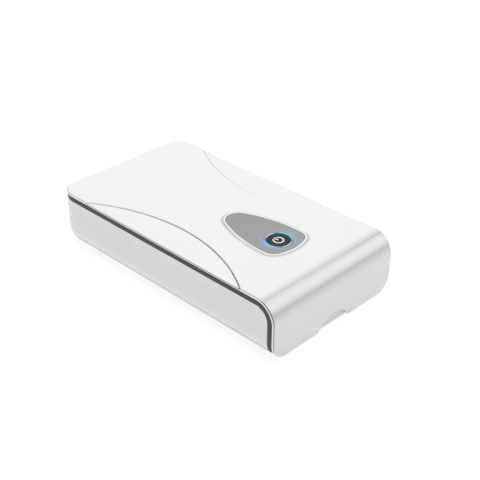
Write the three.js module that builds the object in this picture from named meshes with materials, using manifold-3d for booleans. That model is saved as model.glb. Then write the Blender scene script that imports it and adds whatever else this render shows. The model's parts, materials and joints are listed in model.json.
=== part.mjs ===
// A low box that disinfects what lies in it with ultraviolet light: a white case with a chamber,
// and a bent lid that hinges at the rear and carries the lamps and the power button.
// Millimetres, +Z up. The front, with the finger notch, is at -Y, and the hinge is at +Y.
// The origin is on the table, under the middle of the closed box.

import * as THREE from 'three';
import { mergeVertices } from 'three/addons/utils/BufferGeometryUtils.js';
import Module from 'manifold-3d';

const wasm = await Module();
wasm.setup();

// The closed box
const boxLength = 220;
const boxWidth = 120;
const boxHeight = 44;
const rearCornerRadius = 18;
const frontBendRadius = 16;
const lowerEdgeRadius = 12.5;
const tightestCorner = 1;
const footStand = 0.8;
const seam = 0.25;
const fit = 0.3;
const overrun = 5;

// Lid cover and frame
const coverWall = 2.1;
const bandWidth = 3.8;
const bandSetback = 0.3;
const frameRim = 8.75;
const frameLedge = 5.25;
const frameFrontRim = 6;
const frameRearRim = 18;

// Finger notch in the lid's front wall, and the pad behind it
const notchWidth = 31;
const notchHeight = 9.1;
const padMargin = 6;

// Hinge
const hingeRadius = 5;
const hingeDrop = 5;
const rollEnd = -Math.PI / 4;
const barrelRadius = 2.6;
const pinRadius = 1;
const leafWidth = 12;
const leafThickness = 1.3;
const leafReach = 15;
const hingeFromSide = 26;
const lugWidth = 6;
const rollSlotDrop = 0.5;
const lipDrop = 4;
const troughWall = 2.2;
const leafScrewSpread = 3.2;
const leafScrewReach = 11;

// The top's side fields, a step lower beyond two arcs, with a grey line at the foot of each step
const arcRadius = 139.5;
const arcSagitta = 25;
const arcMiddle = -1.7;
const fieldDrop = 0.7;
const stepDraft = 0.2;
const lineWidth = 0.6;
const lineDepth = 0.3;

// Control panel, its bezel, the light ring and the button
const panelLength = 62.2;
const panelFromFront = 36.9;
const panelTipRadius = 9.75;
const panelSideRadius = 98.7;
const panelCornerRadius = 8.8;
const panelCornerSpread = 9.5;
const panelEndRadius = 35.8;
const panelThickness = 1.4;
const panelChamfer = 0.25;
const panelSink = 0.2;
const bezelWidth = 4.1;
const bezelCrest = 0.9;
const bezelRise = 0.75;
const bezelPocket = 1.1;
const buttonFromFront = 51.7;
const buttonRadius = 8;
const buttonSkirt = 1.5;
const buttonDish = 0.3;
const buttonEdge = 0.4;
const buttonStemRadius = 1.6;
const buttonTravel = 0.5;
const ringWall = 1.9;
const ringEdge = 0.35;

// Inside the lid
const reflectorThickness = 1.4;
const reflectorLip = 1.8;
const lipWall = 1.2;
const lipClearance = 1.4;
const boardThickness = 0.8;
const buttonBoardWidth = 30;
const buttonBoardLength = 40;
const switchSize = 6;
const switchHeight = 1;
const switchBodyHeight = 0.7;
const switchPlungerRadius = 2;
const stripFromEnds = 40;
const stripWidth = 8;
const stripFromSide = 27;
const lampSize = 3.5;
const lampHeight = 1.25;
const lampFromEnd = 5;
const lampCount = 6;
const lampWindow = 5.4;
const magnetRadius = 4;
const magnetThickness = 2.5;
const magnetFromSide = 22;
const magnetHeight = 21;

// Screws
const lidScrewHead = 1.8;
const lidScrewHeadHeight = 0.6;
const lidScrewShaft = 0.8;
const lidScrewLength = 2.1;
const lidScrewInset = 8;
const caseScrewHead = 2.5;
const caseScrewHeadHeight = 1.4;
const caseScrewShaft = 1.2;
const caseScrewLength = 5;
const caseScrewFront = 30;
const caseScrewRear = 48;
const caseScrewFromSide = 24;
const leafScrewHead = 1.9;
const leafScrewHeadHeight = 0.5;
const leafScrewShaft = 0.9;
const leafScrewLength = 4;
const recessRadius = 0.9;
const recessDepth = 0.35;

// Case
const caseWall = 2.2;
const deckThickness = 2.2;
const rearDeckThickness = 5.2;
const rearDeckReach = 20;
const ledgeWidth = 2.5;
const ledgeHeight = 1.6;
const plateThickness = 2.2;
const plateEdge = 13.6;
const plateFrontEdge = 4;
const footRadius = 6;
const footHeight = 1.5;
const footFromSide = 24;
const footFront = 20;
const footRear = 28;
const bumperRadius = 2.5;
const bumperThickness = 1.4;
const bumperProud = 0.1;
const bumperInset = 4.4;
const bumperFront = 26;
const holderWall = 1.6;

// Chamber tray
const traySideGap = 10;
const trayFrontGap = 0.6;
const trayRearGap = 20.5;
const trayCorner = 10;
const trayWall = 2;
const trayFloor = 8.2;
const flangeWidth = 3;
const flangeThickness = 1;
const restCount = 5;
const restWidth = 2.4;
const restHeight = 2;
const restMargin = 5;
const windowFromEnds = 52;
const windowWidth = 12;
const windowThickness = 1;
const windowSeat = 2.4;
const trayBossRadius = 3.4;

// Boards and socket in the case
const lampBoardHeight = 5;
const boardPostRadius = 2.5;
const lampBoardOverhang = 14.4;
const lampPostGap = 2;
const mainBoardFromSide = 20;
const mainBoardDepth = 15;
const mainBoardHeight = 11.2;
const mainBoardThickness = 1.6;
const mainBoardFromRear = 8;
const mainPostInset = 8;
const socketWidth = 9;
const socketHeight = 3.2;
const socketDepth = 7.3;
const socketShell = 0.4;
const socketTongue = 0.7;
const plugWellWidth = 14;
const plugWellHeight = 8;
const plugWellDepth = 4.4;
const plugWellWall = 2;

// Steps on curves
const arcSteps = 5;
const cornerSteps = 8;
const edgeSteps = 6;
const roundSteps = 28;
const smallSteps = 16;
const screwSteps = 10;
const dropSteps = 6;
const dishSteps = 3;
const bowSteps = 18;

// Finishes
const whiteGloss = { color: 0xf2f3f4, roughness: 0.22, metalness: 0 };
const whiteSatin = { color: 0xe6e7e8, roughness: 0.4, metalness: 0 };
const darkGrey = { color: 0x555657, roughness: 0.55, metalness: 0 };
const midGrey = { color: 0x999b9d, roughness: 0.35, metalness: 0.1 };
const lineGrey = { color: 0x9a9a9a, roughness: 0.4, metalness: 0 };
const blackGloss = { color: 0x303133, roughness: 0.25, metalness: 0 };
const glowBlue = { color: 0x35b6ee, roughness: 0.3, metalness: 0 };
const brightMetal = { color: 0xd0d3d6, roughness: 0.2, metalness: 0.9 };
const steel = { color: 0xb4b7ba, roughness: 0.3, metalness: 1 };
const clearGlass = { color: 0xdfeaf0, roughness: 0.05, metalness: 0 };
const boardGreen = { color: 0x1f5a3c, roughness: 0.6, metalness: 0 };
const boardWhite = { color: 0xe9ecee, roughness: 0.5, metalness: 0 };
const rubber = { color: 0x3b3c3d, roughness: 0.85, metalness: 0 };

// Places that follow from the sizes
const halfLength = boxLength / 2;
const halfWidth = boxWidth / 2;
const coverUnder = boxHeight - coverWall;
const caseTop = coverUnder - bandWidth;
const frameTop = coverUnder - seam;
const frameUnder = caseTop + seam;
const fieldTop = boxHeight - fieldDrop;
const caseFront = -halfLength + coverWall + bandWidth;
const bendY = -halfLength + frontBendRadius;
const bendZ = boxHeight - frontBendRadius;
const hingeY = halfLength - hingeRadius;
const hingeSpread = halfWidth - hingeFromSide;
const hingeZ = boxHeight - hingeDrop;
const rollInner = hingeRadius - coverWall;
const troughRadius = hingeRadius + fit;
const rollHalf = cornerWidthAt(hingeY);
const leafTop = hingeZ - barrelRadius + leafThickness;
const frameHalf = halfWidth - frameRim - frameLedge;
const frameFront = bendY + frameFrontRim;
const frameRear = hingeY - frameRearRim;
const reflectorTop = frameUnder + reflectorThickness;
const rebateTop = reflectorTop + seam;
const lidBoardUnder = reflectorTop + seam;
const lidBoardTop = lidBoardUnder + boardThickness;
const stripLength = boxLength - 2 * stripFromEnds;
const stripSpread = halfWidth - stripFromSide;
const magnetSpread = halfWidth - magnetFromSide;
const buttonY = -halfLength + buttonFromFront;
const ringInner = buttonRadius + fit;
const ringOuter = ringInner + ringWall;
const ringUnder = lidBoardTop + seam;
const panelTop = boxHeight + bezelRise - panelSink;
const panelUnder = panelTop - panelThickness;
const pocketFloor = boxHeight - bezelPocket;
const bezelTop = boxHeight + bezelRise;
const notchCentre = notchRadius() - notchHeight;
const trayFront = bendY + trayFrontGap + flangeWidth;
const trayRear = hingeY - trayRearGap;
const trayHalfWidth = halfWidth - traySideGap;
const trayFloorTop = trayFloor + trayWall;
const restPitch = (trayRear - trayFront) / restCount;
const windowLength = boxLength - 2 * windowFromEnds;
const lampPostSpread = windowLength / 2 + lampPostGap;
const plateUnder = footStand;
const plateTop = plateUnder + plateThickness;
const mainBoardHalf = halfWidth - mainBoardFromSide;
const mainBoardRear = halfLength - mainBoardFromRear;
const mainBoardTop = mainBoardHeight + mainBoardThickness;
const socketMiddle = mainBoardTop + fit + socketHeight / 2;
const wellFloor = halfLength - plugWellDepth;

// Radius of the arc that is the notch's outline, from its width and height
function notchRadius() {
  return (notchWidth ** 2 / 4 + notchHeight ** 2) / (2 * notchHeight);
}

// Half the box's width where its rounded rear corner passes a given y
function cornerWidthAt(y) {
  const beyond = Math.max(y - (boxLength / 2 - rearCornerRadius), 0);
  return boxWidth / 2 - rearCornerRadius + Math.sqrt(rearCornerRadius ** 2 - beyond ** 2);
}

// From a three.js geometry to a solid, and back
function toSolid(geometry) {
  const bare = geometry.clone();
  bare.deleteAttribute('normal');
  bare.deleteAttribute('uv');
  const merged = mergeVertices(bare);
  return new wasm.Manifold(new wasm.Mesh({
    numProp: 3,
    vertProperties: Float32Array.from(merged.attributes.position.array),
    triVerts: Uint32Array.from(merged.index.array),
  }));
}

function toGeometry(solid) {
  const { vertProperties, triVerts } = solid.getMesh();
  const geometry = new THREE.BufferGeometry();
  geometry.setAttribute('position', new THREE.BufferAttribute(vertProperties, 3));
  geometry.setIndex(new THREE.BufferAttribute(triVerts, 1));
  geometry.computeVertexNormals();
  return geometry;
}

function join(...solids) {
  return solids.reduce((whole, next) => whole.add(next));
}

function cut(solid, ...tools) {
  return tools.reduce((whole, tool) => whole.subtract(tool), solid);
}

// Basic solids
function box([x0, x1], [y0, y1], [z0, z1]) {
  const geometry = new THREE.BoxGeometry(x1 - x0, y1 - y0, z1 - z0);
  return toSolid(geometry.translate((x0 + x1) / 2, (y0 + y1) / 2, (z0 + z1) / 2));
}

function both(half) {
  return [-half, half];
}

function post(radius, [z0, z1], [x, y] = [0, 0], steps = smallSteps) {
  const geometry = new THREE.CylinderGeometry(radius, radius, z1 - z0, steps);
  return toSolid(geometry.rotateX(Math.PI / 2).translate(x, y, (z0 + z1) / 2));
}

function rodAlongX(radius, [x0, x1], [y, z], steps = roundSteps) {
  const geometry = new THREE.CylinderGeometry(radius, radius, x1 - x0, steps);
  return toSolid(geometry.rotateZ(Math.PI / 2).translate((x0 + x1) / 2, y, z));
}

function rodAlongY(radius, [y0, y1], [x, z], steps = smallSteps) {
  const geometry = new THREE.CylinderGeometry(radius, radius, y1 - y0, steps);
  return toSolid(geometry.translate(x, (y0 + y1) / 2, z));
}

// A profile of [radius, height] points turned round Z
function turned(points, steps = smallSteps) {
  const profile = points.map(([radius, height]) => new THREE.Vector2(radius, height));
  return new THREE.LatheGeometry(profile, steps).rotateX(Math.PI / 2);
}

// Outlines pushed along an axis: drawn in (x, y), in (y, z) or in (x, z)
function push(shape, depth) {
  return new THREE.ExtrudeGeometry(shape, { depth, bevelEnabled: false, curveSegments: arcSteps });
}

function upright(shape, [z0, z1]) {
  return toSolid(push(shape, z1 - z0).translate(0, 0, z0));
}

function across(shape, [x0, x1]) {
  const turn = new THREE.Matrix4().makeBasis(
    new THREE.Vector3(0, 1, 0), new THREE.Vector3(0, 0, 1), new THREE.Vector3(1, 0, 0));
  return toSolid(push(shape, x1 - x0).translate(0, 0, x0).applyMatrix4(turn));
}

function lengthwise(shape, [y0, y1]) {
  return toSolid(push(shape, y1 - y0).translate(0, 0, -y1).rotateX(Math.PI / 2));
}

function polygon(points) {
  return new THREE.Shape(points.map(([x, y]) => new THREE.Vector2(x, y)));
}

// A rectangle with round corners, the same on both sides of x = 0
function roundedPanel(half, [y0, y1], radius) {
  const shape = new THREE.Shape();
  shape.absarc(half - radius, y0 + radius, radius, -Math.PI / 2, 0);
  shape.absarc(half - radius, y1 - radius, radius, 0, Math.PI / 2);
  shape.absarc(radius - half, y1 - radius, radius, Math.PI / 2, Math.PI);
  shape.absarc(radius - half, y0 + radius, radius, Math.PI, 1.5 * Math.PI);
  return shape;
}

// Stacked outlines with equal counts of points, skinned into one solid. A closed loft joins its
// last outline to its first, and makes a ring.
function loft(levels, closed = false) {
  const count = levels[0].outline.length;
  const positions = levels.flatMap(({ outline, z }) => outline.flatMap((p) => [p.x, p.y, z]));
  const faces = [];
  const bands = closed ? levels.length : levels.length - 1;
  for (let k = 0; k < bands; k++) {
    const above = ((k + 1) % levels.length) * count;
    for (let i = 0; i < count; i++) {
      const j = (i + 1) % count;
      const [a, b] = [k * count + i, k * count + j];
      faces.push(a, b, above + j, a, above + j, above + i);
    }
  }
  if (!closed) {
    const top = (levels.length - 1) * count;
    for (const [a, b, c] of THREE.ShapeUtils.triangulateShape(levels[0].outline, [])) {
      faces.push(c, b, a);
    }
    for (const [a, b, c] of THREE.ShapeUtils.triangulateShape(levels.at(-1).outline, [])) {
      faces.push(top + a, top + b, top + c);
    }
  }
  const geometry = new THREE.BufferGeometry();
  geometry.setAttribute('position', new THREE.Float32BufferAttribute(positions, 3));
  geometry.setIndex(faces);
  return toSolid(geometry);
}

// The box seen from above, drawn in by an inset: square at the front, round at the rear
function plan(inset, front) {
  const radius = Math.max(rearCornerRadius - inset, tightestCorner);
  const half = halfWidth - inset;
  const rear = halfLength - inset;
  const points = [new THREE.Vector2(-half, front), new THREE.Vector2(half, front)];
  for (const side of [1, -1]) {
    for (let i = 0; i <= cornerSteps; i++) {
      const turn = (i / cornerSteps + (side < 0 ? 1 : 0)) * (Math.PI / 2);
      points.push(new THREE.Vector2(
        side * (half - radius) + radius * Math.cos(turn),
        rear - radius + radius * Math.sin(turn)));
    }
  }
  return points;
}

function planPrism(inset, front, [z0, z1]) {
  const outline = plan(inset, front);
  return loft([{ outline, z: z0 }, { outline, z: z1 }]);
}

// The tub that the case is cut from. Its lower edge is rolled in, and its top front corner
// follows the lid's bend.
function tub(wall, [z0, z1]) {
  const radius = lowerEdgeRadius - wall;
  const front = caseFront + wall;
  const levels = [];
  for (let i = 0; i <= edgeSteps; i++) {
    const turn = (i / edgeSteps) * (Math.PI / 2);
    levels.push({
      outline: plan(wall + radius * (1 - Math.sin(turn)), front),
      z: z0 + radius * (1 - Math.cos(turn)),
    });
  }
  levels.push({ outline: plan(wall, front), z: z1 });
  const bend = bendY - front;
  const profile = new THREE.Shape();
  profile.moveTo(front, z0 - overrun);
  profile.lineTo(front, z1 - bend);
  profile.absarc(bendY, z1 - bend, bend, Math.PI, Math.PI / 2, true);
  profile.lineTo(halfLength + overrun, z1);
  profile.lineTo(halfLength + overrun, z0 - overrun);
  return loft(levels).intersect(across(profile, both(halfWidth + overrun)));
}

// The shape that the lid's pieces keep inside, seen from above and from the front
function lidEnvelope(inset) {
  const half = halfWidth - inset;
  const low = footStand;
  const radius = lowerEdgeRadius - inset;
  const face = new THREE.Shape();
  face.absarc(half - radius, low + lowerEdgeRadius, radius, -Math.PI / 2, 0);
  face.lineTo(half, boxHeight + overrun);
  face.lineTo(-half, boxHeight + overrun);
  face.absarc(radius - half, low + lowerEdgeRadius, radius, Math.PI, 1.5 * Math.PI);
  const seen = planPrism(inset, -halfLength - overrun, [-overrun, boxHeight + overrun]);
  return seen.intersect(lengthwise(face, [-halfLength - overrun, halfLength + overrun]));
}

// The panel's outline: a blunt drop with its tip to the rear, made of arcs that meet without a
// corner. An offset grows every arc, which moves the outline out by the same amount all round.
function drop(offset) {
  const front = -halfLength + panelFromFront;
  const tip = { x: 0, y: front + panelLength - panelTipRadius, radius: panelTipRadius };
  const end = { x: 0, y: front + panelEndRadius, radius: panelEndRadius };
  const reach = panelEndRadius - panelCornerRadius;
  const corner = {
    x: panelCornerSpread,
    y: end.y - Math.sqrt(reach ** 2 - panelCornerSpread ** 2),
    radius: panelCornerRadius,
  };
  const side = circleRound(tip, corner, panelSideRadius);
  const toCorner = heading(side, corner);
  const turns = [
    [end, -Math.PI / 2, heading(end, corner)],
    [corner, heading(end, corner), toCorner],
    [side, toCorner, heading(side, tip)],
    [tip, heading(side, tip), Math.PI / 2],
  ];
  const right = [];
  for (const [arc, from, to] of turns) {
    for (let i = 0; i < dropSteps; i++) {
      const turn = from + ((to - from) * i) / dropSteps;
      const radius = arc.radius + offset;
      right.push([arc.x + radius * Math.cos(turn), arc.y + radius * Math.sin(turn)]);
    }
  }
  const left = right.slice(1).reverse().map(([x, y]) => [-x, y]);
  const top = [0, tip.y + tip.radius + offset];
  return [...right, top, ...left].map(([x, y]) => new THREE.Vector2(x, y));
}

function heading(from, to) {
  return Math.atan2(to.y - from.y, to.x - from.x);
}

// The circle of a given radius that holds two smaller circles, and touches both from outside
// on the side of +X
function circleRound(a, b, radius) {
  const [p, q] = [radius - a.radius, radius - b.radius];
  const apart = Math.hypot(b.x - a.x, b.y - a.y);
  const along = (p ** 2 - q ** 2 + apart ** 2) / (2 * apart);
  const aside = Math.sqrt(p ** 2 - along ** 2);
  const [ux, uy] = [(b.x - a.x) / apart, (b.y - a.y) / apart];
  return { x: a.x + along * ux + aside * uy, y: a.y + along * uy - aside * ux, radius };
}

// Pieces. Each is one named mesh with its own material.
function piece(name, shape, finish, [x, y, z] = [0, 0, 0]) {
  const geometry = shape.isBufferGeometry ? shape : toGeometry(shape);
  const mesh = new THREE.Mesh(geometry, new THREE.MeshStandardMaterial(finish));
  mesh.name = name;
  mesh.position.set(x, y, z);
  return mesh;
}

function sided(make) {
  return [['left', -1], ['right', 1]].map(([name, side]) => make(name, side));
}

function atCorners(spread, front, rear) {
  return [[-spread, front], [spread, front], [-spread, rear], [spread, rear]];
}

// A pan-head screw, head down at z = 0 with a round driver recess, or head up
function screw({ head, headHeight, shaft, length }, headUp = false) {
  const geometry = turned([
    [0, recessDepth], [recessRadius, recessDepth], [recessRadius, 0], [head, 0],
    [head, headHeight], [shaft, headHeight], [shaft, headHeight + length],
    [0, headHeight + length],
  ], screwSteps);
  return headUp ? geometry.rotateX(Math.PI) : geometry;
}

const lidScrewSizes = {
  head: lidScrewHead, headHeight: lidScrewHeadHeight, shaft: lidScrewShaft, length: lidScrewLength,
};
const caseScrewSizes = {
  head: caseScrewHead, headHeight: caseScrewHeadHeight, shaft: caseScrewShaft,
  length: caseScrewLength,
};
const leafScrewSizes = {
  head: leafScrewHead, headHeight: leafScrewHeadHeight, shaft: leafScrewShaft,
  length: leafScrewLength,
};
const lidScrewPlaces = atCorners(
  frameHalf + frameLedge / 2, frameFront + lidScrewInset, frameRear - lidScrewInset);
const caseScrewPlaces = atCorners(
  halfWidth - caseScrewFromSide, -halfLength + caseScrewFront, halfLength - caseScrewRear);
const footPlaces = atCorners(
  halfWidth - footFromSide, -halfLength + footFront, halfLength - footRear);
const magnetPlaces = [-magnetSpread, magnetSpread];
const hingePlaces = [-hingeSpread, hingeSpread];
const bumperPlaces = [-1, 1].map((side) => [
  side * (halfWidth - bumperInset), -halfLength + bumperFront]);

// Lid: the white cover, one bent sheet with its rear edge rolled round the hinge line
function lidCover() {
  const profile = new THREE.Shape();
  profile.moveTo(-halfLength, 0);
  profile.lineTo(-halfLength, bendZ);
  profile.absarc(bendY, bendZ, frontBendRadius, Math.PI, Math.PI / 2, true);
  profile.absarc(hingeY, hingeZ, hingeRadius, Math.PI / 2, rollEnd, true);
  profile.absarc(hingeY, hingeZ, rollInner, rollEnd, Math.PI / 2);
  profile.absarc(bendY, bendZ, frontBendRadius - coverWall, Math.PI / 2, Math.PI);
  profile.lineTo(-halfLength + coverWall, 0);
  const sheet = across(profile, both(halfWidth + overrun)).intersect(lidEnvelope(0));
  const slots = hingePlaces.map((x) => box(
    [x - leafWidth / 2 - fit, x + leafWidth / 2 + fit],
    [hingeY, halfLength + overrun], [0, hingeZ - rollSlotDrop]));
  const pocket = drop(bezelWidth);
  return cut(
    sheet, ...slots, fingerNotch(0, [-halfLength - overrun, bendY]),
    loft([{ outline: pocket, z: pocketFloor }, { outline: pocket, z: bezelTop + overrun }]),
    post(ringOuter + fit, [0, bezelTop + overrun], [0, buttonY], roundSteps),
    ...[-1, 1].flatMap((side) => [sideField(side), footLine(side, seam)]));
}

function fingerNotch(margin, [y0, y1]) {
  return rodAlongY(notchRadius() + margin, [y0, y1], [0, footStand - notchCentre], roundSteps);
}

// What is taken off the top beyond one arc. The step's face leans out towards its foot.
function sideField(side) {
  const [foot, brow] = [arcRadius - stepDraft, arcRadius].map((radius) => segment(side, radius));
  return loft([
    { outline: foot, z: fieldTop }, { outline: brow, z: boxHeight },
    { outline: brow, z: boxHeight + overrun }]);
}

// The grey line at the foot of the step, or the groove for it with a gap all round
function footLine(side, gap) {
  const outer = arcRadius - stepDraft - seam + gap;
  const inner = outer - lineWidth - 2 * gap;
  const [around, within] = [outer, inner].map((radius) => upright(
    new THREE.Shape(segment(side, radius)), [fieldTop - lineDepth - gap, fieldTop + gap]));
  return cut(around, within);
}

// The part of a circle that reaches in over the top from beyond one side of the box
function segment(side, radius) {
  const out = arcRadius - arcSagitta - overrun;
  const centre = halfWidth + overrun + out;
  const reach = Math.acos(out / radius);
  const points = Array.from({ length: bowSteps + 1 }, (_, i) => {
    const turn = reach * ((2 * i) / bowSteps - 1);
    return new THREE.Vector2(
      side * (centre - radius * Math.cos(turn)), arcMiddle + radius * Math.sin(turn));
  });
  return side > 0 ? points.reverse() : points;
}

// Lid: the dark frame under the cover, which shows as a band round the closed box
function lidFrame() {
  const outer = frontBendRadius - coverWall - seam;
  const inner = outer - (frameTop - frameUnder);
  const profile = new THREE.Shape();
  profile.moveTo(bendY - outer, 0);
  profile.lineTo(bendY - outer, bendZ);
  profile.absarc(bendY, bendZ, outer, Math.PI, Math.PI / 2, true);
  profile.lineTo(hingeY, frameTop);
  profile.lineTo(hingeY, frameUnder);
  profile.absarc(bendY, bendZ, inner, Math.PI / 2, Math.PI);
  profile.lineTo(bendY - inner, 0);
  const sheet = across(profile, both(halfWidth + overrun)).intersect(lidEnvelope(bandSetback));
  const rebateHalf = frameHalf + frameLedge;
  const lugs = hingePlaces.flatMap((x) => [-1, 1].map((side) => {
    const from = x + side * (leafWidth / 2 + fit);
    const to = from + side * lugWidth;
    return rodAlongX(barrelRadius, [Math.min(from, to), Math.max(from, to)], [hingeY, hingeZ]);
  }));
  const eyeRooms = hingePlaces.map((x) => rodAlongX(
    rollInner, [x - leafWidth / 2 - fit, x + leafWidth / 2 + fit], [hingeY, hingeZ]));
  const bores = hingePlaces.map((x) => rodAlongX(
    pinRadius + fit, both(leafWidth / 2 + lugWidth + overrun).map((end) => x + end),
    [hingeY, hingeZ]));
  return cut(
    join(cut(sheet, ...eyeRooms), ...lugs), ...bores,
    box(both(frameHalf), [frameFront, frameRear], [frameUnder - overrun, frameTop + overrun]),
    box(both(rebateHalf), [frameFront - frameLedge, frameRear + frameLedge],
      [frameUnder - overrun, rebateTop]),
    box(both(notchWidth / 2 + padMargin + fit), [-halfLength, bendY - inner + overrun],
      [0, footStand + notchHeight + padMargin / 2 + fit]),
    ...magnetPlaces.map((x) => rodAlongY(
      magnetRadius + fit, [bendY - inner - magnetThickness - fit, bendY], [x, magnetHeight])),
    ...lidScrewPlaces.map((place) => post(
      lidScrewShaft + fit, [frameUnder, lidScrewTop() + fit], place, screwSteps)));
}

function lidScrewTop() {
  return frameUnder + lidScrewHeadHeight + lidScrewLength;
}

// Lid: the bright plate that closes the frame from below, with a lip that drops into the chamber
function lidReflector() {
  const half = frameHalf + frameLedge - fit;
  const span = [frameFront - frameLedge + fit, frameRear + frameLedge - fit];
  const lipHalf = trayHalfWidth - trayWall - lipClearance;
  const lipSpan = [trayFront + trayWall + lipClearance, trayRear - trayWall - lipClearance];
  const lipRadius = trayCorner - trayWall - lipClearance;
  const lip = cut(
    upright(roundedPanel(lipHalf, lipSpan, lipRadius), [frameUnder - reflectorLip, reflectorTop]),
    upright(
      roundedPanel(lipHalf - lipWall, [lipSpan[0] + lipWall, lipSpan[1] - lipWall],
        lipRadius - lipWall),
      [frameUnder - reflectorLip - overrun, reflectorTop + overrun]));
  const plate = box(both(half), span, [frameUnder, reflectorTop]);
  return cut(
    join(plate, lip),
    ...stripPlaces().flatMap((x) => lampPlaces(stripLength).map((y) => box(
      both(lampWindow / 2).map((end) => x + end), both(lampWindow / 2).map((end) => y + end),
      [frameUnder - overrun, reflectorTop + overrun]))),
    ...lidScrewPlaces.flatMap((place) => [
      post(lidScrewHead + fit, [frameUnder - overrun, frameUnder + lidScrewHeadHeight + seam],
        place, screwSteps),
      post(lidScrewShaft + fit, [frameUnder, reflectorTop + overrun], place, screwSteps)]));
}

function stripPlaces() {
  return [-stripSpread, stripSpread];
}

function lampPlaces(span) {
  const reach = span / 2 - lampFromEnd;
  return Array.from({ length: lampCount }, (_, i) => reach * ((2 * i) / (lampCount - 1) - 1));
}

// A board with a row of square lamps on one face, spread over a span. The lamps point along the
// given direction.
function lampStrip(length, width, span, direction) {
  const board = box(both(width / 2), both(length / 2), both(boardThickness / 2));
  const tip = direction * (boardThickness / 2 + lampHeight);
  const lamps = lampPlaces(span).map((y) => box(
    both(lampSize / 2), both(lampSize / 2).map((end) => y + end),
    [Math.min(0, tip), Math.max(0, tip)]));
  return join(board, ...lamps);
}

// Lid: the raised surround of the panel, a ring with a sloping flank
function panelBezel() {
  return loft([
    { outline: drop(bezelWidth - fit), z: pocketFloor + seam },
    { outline: drop(bezelWidth - fit), z: boxHeight },
    { outline: drop(bezelCrest + fit), z: bezelTop },
    { outline: drop(fit), z: bezelTop },
    { outline: drop(fit), z: pocketFloor + seam },
  ], true);
}

function controlPanel() {
  const plate = loft([
    { outline: drop(0), z: panelUnder },
    { outline: drop(0), z: panelTop - panelChamfer },
    { outline: drop(-panelChamfer), z: panelTop },
  ]);
  return cut(plate, post(
    ringOuter + fit, [panelUnder - overrun, panelTop + overrun], [0, buttonY], roundSteps));
}

function lightRing() {
  return turned([
    [ringInner, ringUnder], [ringOuter, ringUnder], [ringOuter, panelTop - ringEdge],
    [ringOuter - ringEdge, panelTop], [ringInner + ringEdge, panelTop],
    [ringInner, panelTop - ringEdge], [ringInner, ringUnder],
  ], roundSteps);
}

// The round button: a dished cap, a skirt and the stem that presses the switch
function powerButton() {
  const under = panelTop - buttonSkirt;
  const stemEnd = switchTop() + buttonTravel + seam / 2;
  const rim = buttonRadius - buttonEdge;
  const dish = Array.from({ length: dishSteps + 1 }, (_, i) => {
    const radius = rim * (1 - i / dishSteps);
    return [radius, panelTop - buttonDish * (1 - (radius / rim) ** 2)];
  });
  return turned([
    [0, stemEnd], [buttonStemRadius, stemEnd], [buttonStemRadius, under + buttonEdge],
    [rim, under + buttonEdge], [rim, under], [buttonRadius, under],
    [buttonRadius, panelTop - buttonEdge], ...dish,
  ], roundSteps);
}

function switchTop() {
  return lidBoardTop + seam + switchHeight;
}

function tactSwitch() {
  const low = lidBoardTop + seam;
  const body = box(both(switchSize / 2), both(switchSize / 2).map((end) => buttonY + end),
    [low, low + switchBodyHeight]);
  return join(body, post(switchPlungerRadius, [low, switchTop()], [0, buttonY]));
}

function buttonBoard() {
  return box(both(buttonBoardWidth / 2), both(buttonBoardLength / 2).map((end) => buttonY + end),
    [lidBoardUnder, lidBoardTop]);
}

// Hinge: a leaf with one end rolled into an eye round the pin, let into the case's rear deck
function hingeLeaf() {
  const eye = rodAlongX(barrelRadius, both(leafWidth / 2), [0, 0]);
  const plate = box(both(leafWidth / 2), [-leafReach, 0],
    [-barrelRadius, leafThickness - barrelRadius]);
  return cut(
    join(eye, plate), rodAlongX(pinRadius + fit, both(leafWidth / 2 + overrun), [0, 0]),
    ...both(leafScrewSpread).map((x) => post(
      leafScrewShaft + fit, [-barrelRadius - overrun, 0], [x, -leafScrewReach], screwSteps)));
}

function hingePin() {
  return rodAlongX(pinRadius, both(leafWidth / 2 + fit + lugWidth), [0, 0], smallSteps);
}

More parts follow.
